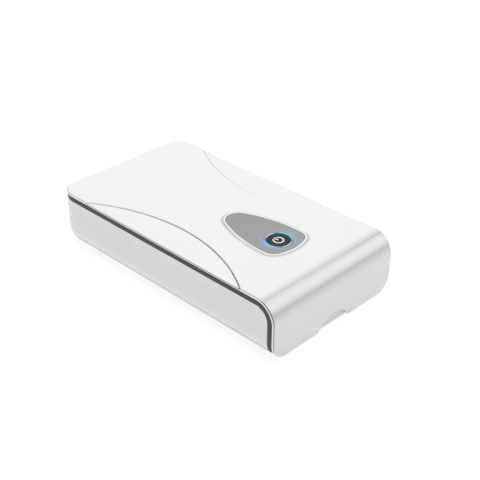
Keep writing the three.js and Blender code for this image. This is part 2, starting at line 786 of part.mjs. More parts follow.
// Case: the white shell, open below for the bottom plate and above for the chamber
function caseShell() {
  const outer = tub(0, [footStand, caseTop]);
  const inner = tub(caseWall, [footStand + caseWall, caseTop - deckThickness]);
  const hollow = cut(outer, inner);
  const trough = rodAlongX(troughRadius + troughWall, both(rollHalf + troughWall), hingeLine());
  const rearDeck = box(
    both(halfWidth - lowerEdgeRadius), [hingeY - rearDeckReach, hingeY],
    [caseTop - rearDeckThickness, caseTop]);
  const well = box(
    both(plugWellWidth / 2 + plugWellWall), [wellFloor - plugWellWall, halfLength],
    both(plugWellHeight / 2 + plugWellWall).map((end) => socketMiddle + end));
  const ledge = cut(
    planPrism(0, caseFront, [plateTop + seam, plateTop + ledgeHeight]),
    planPrism(plateEdge + ledgeWidth, plateFront() + ledgeWidth, [0, caseTop]));
  const pad = box(both(notchWidth / 2 + padMargin),
    [-halfLength + coverWall + fit, caseFront + caseWall],
    [footStand, footStand + notchHeight + padMargin / 2]);
  const holders = magnetPlaces.map((x) => rodAlongY(
    magnetRadius + fit + holderWall,
    [caseFront + caseWall / 2, caseFront + caseWall + fit + magnetThickness], [x, magnetHeight]));
  const added = join(trough, rearDeck, well, ledge).intersect(outer);
  return cut(
    join(hollow, added, pad, ...holders),
    planPrism(plateEdge - fit, plateFront() - fit, [-overrun, plateTop + seam]),
    rodAlongX(troughRadius, both(rollHalf + fit), hingeLine()),
    box(both(rollHalf + fit), [hingeY, halfLength + overrun],
      [hingeZ - lipDrop, caseTop + overrun]),
    upright(roundedPanel(
      trayHalfWidth + fit, [trayFront - fit, trayRear + fit], trayCorner + fit),
    [plateTop + ledgeHeight + seam, caseTop + overrun]),
    upright(roundedPanel(
      trayHalfWidth + flangeWidth + fit, traySpan(flangeWidth + fit), trayCorner + flangeWidth),
    [caseTop - flangeThickness - fit, caseTop + overrun]),
    box(both(plugWellWidth / 2), [wellFloor, halfLength + overrun],
      both(plugWellHeight / 2).map((end) => socketMiddle + end)),
    box(both(socketWidth / 2 + fit), [wellFloor - plugWellWall - overrun, halfLength],
      both(socketHeight / 2 + fit).map((end) => socketMiddle + end)),
    ...magnetPlaces.map((x) => rodAlongY(
      magnetRadius + fit, [caseFront + caseWall, trayFront], [x, magnetHeight])),
    ...bumperPlaces.map((place) => post(
      bumperRadius + fit, [caseTop + bumperProud - bumperThickness - fit, caseTop + overrun],
      place)),
    ...hingePlaces.flatMap((x) => [
      box(both(leafWidth / 2 + fit).map((end) => x + end),
        [hingeY - leafReach - fit, hingeY], [leafTop - leafThickness - fit, caseTop + overrun]),
      ...both(leafScrewSpread).map((end) => post(
        leafScrewShaft + fit,
        [leafTop - leafScrewLength - fit, caseTop], [x + end, hingeY - leafScrewReach],
        screwSteps))]));
}

function hingeLine() {
  return [hingeY, hingeZ];
}

function plateFront() {
  return caseFront + plateFrontEdge;
}

function traySpan(margin) {
  return [trayFront - margin, trayRear + margin];
}

// Case: the plate that closes it from below, with pockets for the feet and posts for the boards
function bottomPlate() {
  const plate = planPrism(plateEdge, plateFront(), [plateUnder, plateTop]);
  const posts = [
    ...both(lampPostSpread).map((y) => post(
      boardPostRadius, [plateUnder, lampBoardHeight - fit], [0, trayMiddle() + y])),
    ...both(mainBoardHalf - mainPostInset).map((x) => post(
      boardPostRadius, [plateUnder, mainBoardHeight - fit],
      [x, mainBoardRear - mainBoardDepth + boardPostRadius])),
  ];
  return cut(
    join(plate, ...posts),
    ...footPlaces.map((place) => post(footRadius + fit, [0, footHeight + fit], place)),
    ...caseScrewPlaces.flatMap((place) => [
      post(caseScrewHead + fit, [0, plateUnder + caseScrewHeadHeight], place, screwSteps),
      post(caseScrewShaft + fit, [0, plateTop + overrun], place, screwSteps)]));
}

// Case: the tray that is the chamber, hung by its flange in the case's top
function chamberTray() {
  const outer = upright(
    roundedPanel(trayHalfWidth, traySpan(0), trayCorner), [trayFloor, caseTop]);
  const flange = upright(roundedPanel(
    trayHalfWidth + flangeWidth, traySpan(flangeWidth), trayCorner + flangeWidth - fit),
  [caseTop - flangeThickness, caseTop]);
  const inner = upright(
    roundedPanel(trayHalfWidth - trayWall, traySpan(-trayWall), trayCorner - trayWall),
    [trayFloorTop, caseTop + overrun]);
  const bosses = caseScrewPlaces.map((place) => post(
    trayBossRadius, [plateTop + seam, trayFloorTop], place));
  const rests = Array.from({ length: restCount }, (_, i) => box(
    both(trayHalfWidth - trayWall - restMargin),
    both(restWidth / 2).map((end) => trayMiddle() + (i - (restCount - 1) / 2) * restPitch + end),
    [trayFloor + windowSeat / 2, trayFloorTop + restHeight]));
  return cut(
    join(cut(join(outer, flange), inner), ...bosses, ...rests),
    box(both(windowWidth / 2), both(windowLength / 2).map((end) => trayMiddle() + end),
      [trayFloor - overrun, trayFloorTop]),
    box(both(windowWidth / 2 + windowSeat),
      both(windowLength / 2 + windowSeat).map((end) => trayMiddle() + end),
      [trayFloor - overrun, trayFloor + windowThickness / 2]),
    ...caseScrewPlaces.map((place) => post(
      caseScrewShaft + fit, [0, plateUnder + caseScrewHeadHeight + caseScrewLength + fit], place,
      screwSteps)));
}

function trayMiddle() {
  return (trayFront + trayRear) / 2;
}

// A sheet of glass under the tray's slot, which lets the lower lamps shine up
function floorWindow() {
  const top = trayFloor + windowThickness / 2 - fit;
  return box(both(windowWidth / 2 + windowSeat - fit),
    both(windowLength / 2 + windowSeat - fit).map((end) => trayMiddle() + end),
    [top - windowThickness, top]);
}

function mainBoard() {
  return box(both(mainBoardHalf), [mainBoardRear - mainBoardDepth, mainBoardRear],
    [mainBoardHeight, mainBoardTop]);
}

// The charging socket: an open shell round a tongue, its mouth flush with the well's floor
function powerSocket() {
  const [halfX, halfZ] = [socketWidth / 2, socketHeight / 2];
  const mouth = [wellFloor - socketDepth + socketShell, wellFloor + overrun];
  const shell = cut(
    lengthwise(roundedPanel(halfX, both(halfZ), halfZ - socketShell), [
      wellFloor - socketDepth, wellFloor]),
    lengthwise(roundedPanel(halfX - socketShell, both(halfZ - socketShell),
      halfZ - 2 * socketShell), mouth));
  const tongue = box(both(halfX - 3 * socketShell), [
    wellFloor - socketDepth, wellFloor - 2 * socketShell], both(socketTongue / 2));
  return join(shell, tongue);
}

function bumper() {
  return turned([
    [0, 0], [bumperRadius, 0], [bumperRadius, bumperThickness], [0, bumperThickness]]);
}

function foot() {
  return turned([
    [0, 0], [footRadius - footStand, 0], [footRadius, footStand], [footRadius, footHeight],
    [0, footHeight]], roundSteps);
}

function magnet() {
  return toGeometry(rodAlongY(magnetRadius, [0, magnetThickness], [0, 0]));
}

// The case and what stands still with it
const caseGroup = new THREE.Group();
caseGroup.add(
  piece('case_shell', caseShell(), whiteSatin),
  piece('bottom_plate', bottomPlate(), whiteSatin),
  piece('chamber_tray', chamberTray(), brightMetal),
  piece('floor_window', floorWindow(), clearGlass),
  piece('lower_lamp_board', lampStrip(
    windowLength + 2 * lampBoardOverhang, windowWidth, windowLength, 1),
  boardWhite, [0, trayMiddle(), lampBoardHeight + boardThickness / 2]),
  piece('main_board', mainBoard(), boardGreen),
  piece('power_socket', powerSocket(), steel, [0, 0, socketMiddle]),
  ...footPlaces.map(([x, y], i) => piece(`foot_${i + 1}`, foot(), rubber, [x, y, 0])),
  ...caseScrewPlaces.map(([x, y], i) => piece(
    `bottom_screw_${i + 1}`, screw(caseScrewSizes), steel, [x, y, plateUnder])),
  ...sided((name, side) => piece(
    `hinge_leaf_${name}`, hingeLeaf(), steel, [side * hingeSpread, ...hingeLine()])),
  ...sided((name, side) => piece(
    `hinge_pin_${name}`, hingePin(), steel, [side * hingeSpread, ...hingeLine()])),
  ...sided((name, side) => [['outer', 1], ['inner', -1]].map(([place, end]) => piece(
    `hinge_screw_${name}_${place}`, screw(leafScrewSizes, true), steel,
    [side * (hingeSpread + end * leafScrewSpread), hingeY - leafScrewReach,
      leafTop + leafScrewHeadHeight]))).flat(),
  ...sided((name, side) => piece(
    `case_magnet_${name}`, magnet(), steel,
    [side * magnetSpread, caseFront + caseWall + fit, magnetHeight])),
  ...sided((name, side) => piece(
    `rim_bumper_${name}`, bumper(), rubber,
    [side * (halfWidth - bumperInset), -halfLength + bumperFront,
      caseTop + bumperProud - bumperThickness])));

// The lid and what swings with it
const lidGroup = new THREE.Group();
const [insetFace, magnetFace] = [fit, caseFront - seam - fit - magnetThickness];
lidGroup.add(
  piece('lid_cover', lidCover(), whiteGloss),
  piece('lid_frame', lidFrame(), darkGrey),
  piece('lid_reflector', lidReflector(), brightMetal),
  ...sided((name, side) => piece(
    `side_inlay_${name}`,
    footLine(side, 0).intersect(lidEnvelope(insetFace)), lineGrey)),
  piece('panel_bezel', panelBezel(), whiteGloss),
  piece('control_panel', controlPanel(), midGrey),
  piece('light_ring', lightRing(), glowBlue, [0, buttonY, 0]),
  piece('button_board', buttonBoard(), boardGreen),
  piece('tact_switch', tactSwitch(), blackGloss),
  ...sided((name, side) => piece(
    `lid_lamp_board_${name}`, lampStrip(stripLength, stripWidth, stripLength, -1), boardWhite,
    [side * stripSpread, 0, lidBoardUnder + boardThickness / 2])),
  ...sided((name, side) => piece(
    `lid_magnet_${name}`, magnet(), steel, [side * magnetSpread, magnetFace, magnetHeight])),
  ...lidScrewPlaces.map(([x, y], i) => piece(
    `lid_screw_${i + 1}`, screw(lidScrewSizes), steel, [x, y, frameUnder])));

// The power button, which slides in the lid
const buttonGroup = new THREE.Group();
buttonGroup.add(piece('power_button', powerButton(), blackGloss, [0, buttonY, 0]));
lidGroup.add(buttonGroup);

const sterilizer = new THREE.Group();
sterilizer.add(caseGroup, lidGroup);

export default sterilizer;
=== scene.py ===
"""Looks of a low white box that disinfects a phone with ultraviolet light.

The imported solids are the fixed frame. The pieces that show most are made again here with finer
edges, and every piece gets a procedural material. Sizes are in millimetres until a finished mesh
is scaled to metres. The front is at -Y, and the lid's hinge is at +Y.
"""

import json
import logging
import math
from dataclasses import dataclass, field
from enum import Enum
from typing import Any, Iterable, Mapping, Sequence, Union

import bmesh
import bpy
from mathutils import Matrix, Quaternion, Vector


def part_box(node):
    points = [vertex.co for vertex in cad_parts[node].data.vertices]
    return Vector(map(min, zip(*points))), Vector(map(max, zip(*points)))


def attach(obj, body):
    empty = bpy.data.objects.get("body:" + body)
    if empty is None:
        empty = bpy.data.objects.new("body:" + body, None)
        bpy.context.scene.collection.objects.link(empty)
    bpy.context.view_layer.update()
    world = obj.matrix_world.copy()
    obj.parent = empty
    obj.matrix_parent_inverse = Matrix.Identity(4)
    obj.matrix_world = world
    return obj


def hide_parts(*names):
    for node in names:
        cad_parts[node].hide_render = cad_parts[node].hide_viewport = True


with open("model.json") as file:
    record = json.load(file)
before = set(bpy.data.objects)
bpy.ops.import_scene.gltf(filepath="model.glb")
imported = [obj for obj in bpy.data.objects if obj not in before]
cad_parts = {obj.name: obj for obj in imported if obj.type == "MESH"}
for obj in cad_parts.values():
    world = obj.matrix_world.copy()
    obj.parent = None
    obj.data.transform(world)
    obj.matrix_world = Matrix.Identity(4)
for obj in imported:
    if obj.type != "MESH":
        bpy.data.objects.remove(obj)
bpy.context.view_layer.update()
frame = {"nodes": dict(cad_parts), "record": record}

LOG = logging.getLogger("uv_box")
MM = 0.001
QUARTER = math.pi / 2
UP = Vector((0.0, 0.0, 1.0))

# Places and sizes that several pieces share, in millimetres
COVER_TOP = 44.0
BEND_Y, BEND_Z = -94.0, 28.0
RING_Y, RING_INNER, RING_OUTER = -58.3, 8.3, 10.2
HINGE_Y, HINGE_SPREAD, LEAF_HALF = 105.0, 34.0, 6.3

# Edges flatter than SMOOTH are shaded smooth, and edges sharper than SHARP are rounded
SMOOTH, SHARP = math.radians(35.0), math.radians(40.0)
# How much more a large face counts than a small one for the shading of their shared corner
LARGE_WEIGHT = 90
# Distances that count as none, and how far cutters run past what they cut
MERGE, NEARLY = 1e-5, 1e-6
CUT_ROOM = 2.0

# The drift of colour, the wear and the grain that every finish has
DRIFT, PATCH_WAVES, OCTAVES = 0.01, 0.035, 3.0
WEAR_STRETCH, WEAR_LEAST, WEAR_RANGE = 20, 0.85, 0.3
GRAIN_STRENGTH, COAT_ROUGH = 0.35, 0.04
# A small number that keeps the lengths and squares in a finish above nought
LEAST = 0.01

Piece = bpy.types.Object
BMesh, Vert = bmesh.types.BMesh, bmesh.types.BMVert
Edge, Face = bmesh.types.BMEdge, bmesh.types.BMFace
Colour = tuple[float, float, float, float]
Point = Sequence[float]
Span = tuple[float, float]
Number = Union[float, "Value"]


class Body(Enum):
    """The moving bodies of the frame."""

    CASE = "case"
    LID = "lid"
    BUTTON = "button"


class Slot(Enum):
    """The material slots of the record."""

    COVER = "cover_white"
    CASE = "case_white"
    FRAME = "frame_grey"
    PANEL = "panel_grey"
    INLAY = "inlay_grey"
    BUTTON = "button_black"
    RING = "ring_blue"
    REFLECTOR = "reflector_metal"
    GLASS = "window_glass"
    BOARD = "board_green"
    LAMP_BOARD = "lamp_board_white"
    STEEL = "steel"
    RUBBER = "rubber_dark"


class Along(Enum):
    """What a finish's painted light and shade follows."""

    BEND = "turn round the cover's bend from its top, in degrees"
    LENGTH = "place along the box, in millimetres"
    HEIGHT = "height above the table, in millimetres"


# Shader graphs


class Value:
    """A node's output that Python's operators turn into Math nodes."""

    def __init__(self, graph: "Graph", socket: bpy.types.NodeSocket) -> None:
        """Wrap an output of one of a graph's nodes."""
        self.graph = graph
        self.socket = socket

    def maths(self, operation: str, *others: Number) -> "Value":
        """Add a Math node that starts from this value."""
        return self.graph.number(operation, self, *others)

    def __add__(self, other: Number) -> "Value":
        """Sum."""
        return self.maths("ADD", other)

    __radd__ = __add__

    def __sub__(self, other: Number) -> "Value":
        """Difference."""
        return self.maths("SUBTRACT", other)

    def __rsub__(self, other: Number) -> "Value":
        """Difference from a number."""
        return self.graph.number("SUBTRACT", other, self)

    def __mul__(self, other: Number) -> "Value":
        """Product."""
        return self.maths("MULTIPLY", other)

    __rmul__ = __mul__

    def __truediv__(self, other: Number) -> "Value":
        """Quotient."""
        return self.maths("DIVIDE", other)

    def __pow__(self, other: Number) -> "Value":
        """Power."""
        return self.maths("POWER", other)

    def __abs__(self) -> "Value":
        """Size without sign."""
        return self.maths("ABSOLUTE")

    def larger(self, other: Number) -> "Value":
        """Greater of two."""
        return self.maths("MAXIMUM", other)

    def smooth(self, low: float, high: float) -> "Value":
        """Step softly from 0 at a low value to 1 at a high one.

        Args:
            low: Where the step starts.
            high: Where the step ends.

        Returns:
            The stepped value.
        """
        return self.graph.add(
            "MapRange",
            {"interpolation_type": "SMOOTHSTEP"},
            {"Value": self, "From Min": low, "From Max": high},
        )


class Graph:
    """The nodes of one material or world."""

    def __init__(self, tree: bpy.types.NodeTree) -> None:
        """Start from an empty tree."""
        self.tree = tree
        tree.nodes.clear()

    @classmethod
    def of(cls, owner: Union[bpy.types.Material, bpy.types.World]) -> "Graph":
        """Start the nodes of a material or world afresh."""
        owner.use_nodes = True
        return cls(owner.node_tree)

    def add(
        self,
        kind: str,
        settings: Mapping[str, Any] | None = None,
        sockets: Mapping[Union[int, str], Any] | None = None,
        output: Union[int, str] = 0,
    ) -> Value:
        """Add a node, set it up and link it.

        Args:
            kind: The node's type, without the start that all of them share.
            settings: Its properties, set first. The key stops holds a ramp's stops.
            sockets: Numbers, colours or values for its inputs.
            output: The output to return.

        Returns:
            One output of the node.
        """
        node = self.tree.nodes.new("ShaderNode" + kind)
        for key, setting in (settings or {}).items():
            if key == "stops":
                self._ramp(node.color_ramp, setting)
            else:
                setattr(node, key, setting)
        for key, item in (sockets or {}).items():
            if isinstance(item, Value):
                self.tree.links.new(item.socket, node.inputs[key])
            else:
                node.inputs[key].default_value = item
        return Value(self, node.outputs[output] if node.outputs else None)

    @staticmethod
    def _ramp(ramp: bpy.types.ColorRamp, stops: Sequence[tuple[float, Colour]]) -> None:
        """Set a ramp's stops.

        Args:
            ramp: The ramp, with its two first stops.
            stops: Place and colour of each stop.
        """
        ramp.interpolation = "CARDINAL"
        while len(ramp.elements) < len(stops):
            ramp.elements.new(1.0)
        for element, (place, colour) in zip(ramp.elements, stops):
            element.position = place
            element.color = colour

    def number(self, operation: str, *operands: Number) -> Value:
        """Add a Math node on any operands."""
        return self.add("Math", {"operation": operation}, dict(enumerate(operands)))

    def place(self) -> tuple[Value, Value, Value, Value]:
        """Read the Object coordinate.

        Returns:
            The point, and its x, y and z, in millimetres.
        """
        point = self.add("TexCoord", output="Object")
        scaled = self.add(
            "VectorMath", {"operation": "SCALE"}, {0: point, "Scale": 1 / MM}
        )
        parts = [
            self.add("SeparateXYZ", sockets={0: scaled}, output=axis) for axis in range(3)
        ]
        return scaled, parts[0], parts[1], parts[2]

    def noise(self, point: Value, scale: float, detail: float = OCTAVES) -> Value:
        """Add soft noise.

        Args:
            point: Where to read it, in millimetres.
            scale: Waves in a millimetre.
            detail: Octaves.

        Returns:
            The noise, from 0 to 1.
        """
        return self.add(
            "TexNoise", None, {"Vector": point, "Scale": scale, "Detail": detail}
        )

    def mix(self, factor: Number, first: Any, second: Any, blend: str = "MIX") -> Value:
        """Blend two colours.

        Args:
            factor: 0 for the first, 1 for the second.
            first: A colour, fixed or from a node.
            second: A colour, fixed or from a node.
            blend: How they are blended.

        Returns:
            The blend.
        """
        return self.add(
            "Mix",
            {"data_type": "RGBA", "blend_type": blend},
            {"Factor": factor, 6: first, 7: second},
            output=2,
        )

    def bump(self, height: Value, strength: float, distance: float) -> Value:
        """Turn a height into a normal.

        Args:
            height: The height, from 0 to 1.
            strength: How strongly it shades.
            distance: The height of a 1, in metres.

        Returns:
            The normal.
        """
        return self.add(
            "Bump", None, {"Strength": strength, "Distance": distance, "Height": height}
        )


def grey(level: float) -> Colour:
    """Make a grey."""
    return (level, level, level, 1.0)


# Finishes


def about_ring(graph: Graph) -> tuple[Value, Value]:
    """Read where a point lies about the light ring.

    Args:
        graph: The material's nodes.

    Returns:
        Its distance from the ring's middle, and 1 where it lies to the side of it, falling to 0
        in front of it and behind.
    """
    _, x, y, _ = graph.place()
    along = y - RING_Y
    away = (x * x + along * along).larger(LEAST) ** 0.5
    return away, abs(x / away)


@dataclass(frozen=True)
class Finish:
    """A plastic, metal or rubber with fine grain.

    Attributes:
        name: The material's name.
        colour: Its colour.
        rough: Its roughness.
        metal: How metallic it is.
        coat: Weight of a clear coat.
        grain: Waves of the surface grain in a millimetre.
        relief: Height of the grain in millimetres.
        level: The specular level.
    """

    name: str
    colour: Colour
    rough: float
    metal: float = 0.0
    coat: float = 0.0
    grain: float = 6.0
    relief: float = 0.004
    level: float = 0.5

    def shade(self, graph: Graph, base: Value) -> dict[str, Any]:
        """Give the sockets that this finish sets beyond the plain ones."""
        return {}

    def material(self) -> bpy.types.Material:
        """Build the material.

        Returns:
            The material, with its grain, colour drift and worn roughness.
        """
        made = bpy.data.materials.new(self.name)
        graph = Graph.of(made)
        point = graph.place()[0]
        patches = graph.noise(point, PATCH_WAVES)
        grain = graph.noise(point, self.grain)
        wear = graph.noise(point, self.grain / WEAR_STRETCH, OCTAVES + 1)
        darker, lighter = (
            (*(min(1.0, part * (1 + drift)) for part in self.colour[:3]), 1.0)
            for drift in (-DRIFT, DRIFT)
        )
        base = graph.mix(patches, darker, lighter)
        sockets: dict[str, Any] = {
            "Base Color": base,
            "Roughness": self.rough * (WEAR_LEAST + WEAR_RANGE * wear),
            "Metallic": self.metal,
            "Specular IOR Level": self.level,
            "Coat Weight": self.coat,
            "Coat Roughness": COAT_ROUGH,
            "Normal": graph.bump(grain, GRAIN_STRENGTH, self.relief * MM),
        }
        sockets.update(self.shade(graph, base))
        surface = graph.add("BsdfPrincipled", None, sockets)
        graph.add("OutputMaterial", None, {"Surface": surface})
        return made


@dataclass(frozen=True)
class PaintedLightFinish(Finish):
    """A finish with painted light and shade: its lightness changes softly along the piece.

    Attributes:
        along: What the lightness follows.
        shades: Places along it, and the lightness of the painted light and shade at each.
        notch_half: Half the width of the front's part that keeps one painted shade, or 0.
        notch_rear: Where that part ends along the box.
        notch_reading: The height whose shade it keeps.
        notch_soft: How softly it ends at its sides.
    """

    along: Along = Along.BEND
    shades: tuple[Span, ...] = ((0.0, 1.0), (90.0, 1.0))
    notch_half: float = 0.0
    notch_rear: float = -98.0
    notch_reading: float = 20.0
    notch_soft: float = 1.0

    def shade(self, graph: Graph, base: Value) -> dict[str, Any]:
        """Paint light and shade into the base colour along the piece.

        Args:
            graph: The material's nodes.
            base: The base colour with its drift.

        Returns:
            The base colour, by its socket's name.
        """
        _, x, y, z = graph.place()
        if self.notch_half:
            soft = self.notch_soft
            inside = 1 - abs(x).smooth(self.notch_half - soft, self.notch_half + soft)
            ahead = 1 - y.smooth(self.notch_rear - 2 * soft, self.notch_rear)
            z = z.larger(inside * ahead * self.notch_reading)
        if self.along is Along.BEND:
            turn = graph.number("ARCTAN2", BEND_Y - y, (z - BEND_Z).larger(LEAST))
            reading = turn * math.degrees(1.0)
        else:
            reading = y if self.along is Along.LENGTH else z
        first, last = self.shades[0][0], self.shades[-1][0]
        stops = [((spot - first) / (last - first), grey(level)) for spot, level in self.shades]
        share = (reading - first) / (last - first)
        # Painted light and shade: a ramp of lightness multiplies the base colour
        lightness = graph.add("ValToRGB", {"stops": stops}, {"Fac": share})
        return {"Base Color": graph.mix(1.0, base, lightness, "MULTIPLY")}


@dataclass(frozen=True)
class ChannelGrey(Finish):
    """The band's dark grey, with painted shade darkening it towards both of its edges.

    Attributes:
        middle_z: The band's middle above the table, along the sides.
        half: Half the band's height.
        fade: Shares of that half between which it darkens.
        edge: Colour of the painted shade at the edges.
    """

    middle_z: float = 40.0
    half: float = 1.65
    fade: Span = (0.35, 0.95)
    edge: Colour = (0.045, 0.045, 0.045, 1.0)

    def shade(self, graph: Graph, base: Value) -> dict[str, Any]:
        """Paint shade into the base colour towards the band's edges.

        Args:
            graph: The material's nodes.
            base: The base colour with its drift.

        Returns:
            The base colour, by its socket's name.
        """
        _, _, y, z = graph.place()
        ahead = (BEND_Y - y).larger(0.0)
        above = (z - BEND_Z).larger(0.0)
        reach = (ahead * ahead + above * above) ** 0.5
        off = abs(reach - (self.middle_z - BEND_Z)) / self.half
        return {"Base Color": graph.mix(off.smooth(*self.fade), base, self.edge)}


@dataclass(frozen=True)
class LitPanel(Finish):
    """The panel's grey, with painted shade towards its rear and the ring's light painted on it as a
    glow of its own.

    Attributes:
        spill: How far outside the ring the light reaches.
        inside: How far inside the ring's edge it starts to fade.
        fall: How steeply it fades.
        ahead: Its share in front of the ring and behind.
        strength: How bright it is.
        graded: Places along the box between which the grey turns to the rear's.
        rear: Colour of the painted shade at the panel's rear.
        light: Colour of the light.
    """

    spill: float = 6.0
    inside: float = 0.5
    fall: float = 3.0
    ahead: float = 0.15
    strength: float = 0.6
    graded: Span = (-75.0, -12.0)
    rear: Colour = (0.283, 0.293, 0.292, 1.0)
    light: Colour = (0.0, 0.15, 0.25, 1.0)

    def shade(self, graph: Graph, base: Value) -> dict[str, Any]:
        """Shade the panel towards its rear and let the light fade round the ring.

        Args:
            graph: The material's nodes.
            base: The base colour with its drift.

        Returns:
            The base colour and the glow, by their sockets' names.
        """
        away, sideways = about_ring(graph)
        # The ring's light painted on the panel as a glow, strongest to the ring's sides
        glow = (1 - (away - RING_OUTER).smooth(-self.inside, self.spill)) ** self.fall
        lit = glow * (self.ahead + (1 - self.ahead) * sideways)
        return {
            "Base Color": graph.mix(graph.place()[2].smooth(*self.graded), base, self.rear),
            "Emission Color": graph.mix(lit, grey(0.0), self.light),
            "Emission Strength": self.strength,
        }


@dataclass(frozen=True)
class RingGlow(Finish):
    """The light ring: blue on its left and right, and a thin white line at its front and rear that
    glows as a painted highlight.

    Attributes:
        strength: Strength of its light.
        ends: How far to the side the lit arcs start, as shares from 0 to 1.
        core: How far to the side they turn from azure to cyan.
        rise: Where across the ring the light comes up.
        fall: Where across it the white line ends again.
        dim: Light of the white part beside its line.
        white: Colour of the painted highlight at the front and rear.
        azure: Colour at the ends of the lit arcs.
        cyan: Colour in the middle of the lit arcs.
        unlit: Colour of the lit arcs' own plastic.
    """

    strength: float = 1.0
    ends: Span = (0.3, 0.62)
    core: Span = (0.6, 0.95)
    rise: Span = (0.4, 0.75)
    fall: Span = (0.95, 1.15)
    dim: float = 0.02
    white: Colour = (0.74, 0.77, 0.8, 1.0)
    azure: Colour = (0.02, 0.19, 0.5, 1.0)
    cyan: Colour = (0.05, 0.56, 0.72, 1.0)
    unlit: Colour = (0.02, 0.06, 0.1, 1.0)

    def shade(self, graph: Graph, base: Value) -> dict[str, Any]:
        """Light the ring, most where the lamps under it are.

        Args:
            graph: The material's nodes.
            base: The base colour with its drift.

        Returns:
            The base colour and the light, by their sockets' names.
        """
        away, sideways = about_ring(graph)
        ends = sideways.smooth(*self.ends)
        across = (away - RING_INNER).smooth(*self.rise)
        line = across * (1 - (away - RING_INNER).smooth(*self.fall))
        arcs = graph.mix(sideways.smooth(*self.core), self.azure, self.cyan)
        # A painted highlight: the thin white line glows at the ring's front and rear
        pale = graph.mix(line, grey(self.dim), self.white)
        return {
            "Base Color": graph.mix(ends, base, self.unlit),
            "Emission Color": graph.mix(ends, pale, graph.mix(across, grey(0.0), arcs)),
            "Emission Strength": self.strength,
        }


@dataclass(frozen=True)
class ClearGlass(Finish):
    """Clear glass.

    Attributes:
        clear: How much light it lets through.
        index: Its refractive index.
    """

    clear: float = 0.95
    index: float = 1.46

    def shade(self, graph: Graph, base: Value) -> dict[str, Any]:
        """Let light through."""
        return {"Transmission Weight": self.clear, "IOR": self.index}


@dataclass(frozen=True)
class Board(Finish):
    """A circuit board with tracks under its lacquer.

    Attributes:
        cells: Tracks in a millimetre.
        edge: Distances from a cell's middle between which its track starts.
        track: Colour of the tracks.
    """

    cells: float = 0.35
    edge: Span = (0.40, 0.43)
    track: Colour = (0.04, 0.22, 0.09, 1.0)

    def shade(self, graph: Graph, base: Value) -> dict[str, Any]:
        """Draw square tracks.

        Args:
            graph: The material's nodes.
            base: The base colour with its drift.

        Returns:
            The base colour, by its socket's name.
        """
        cells = graph.add(
            "TexVoronoi",
            {"distance": "CHEBYCHEV", "feature": "F1"},
            {"Vector": graph.place()[0], "Scale": self.cells},
        )
        return {"Base Color": graph.mix(cells.smooth(*self.edge), base, self.track)}


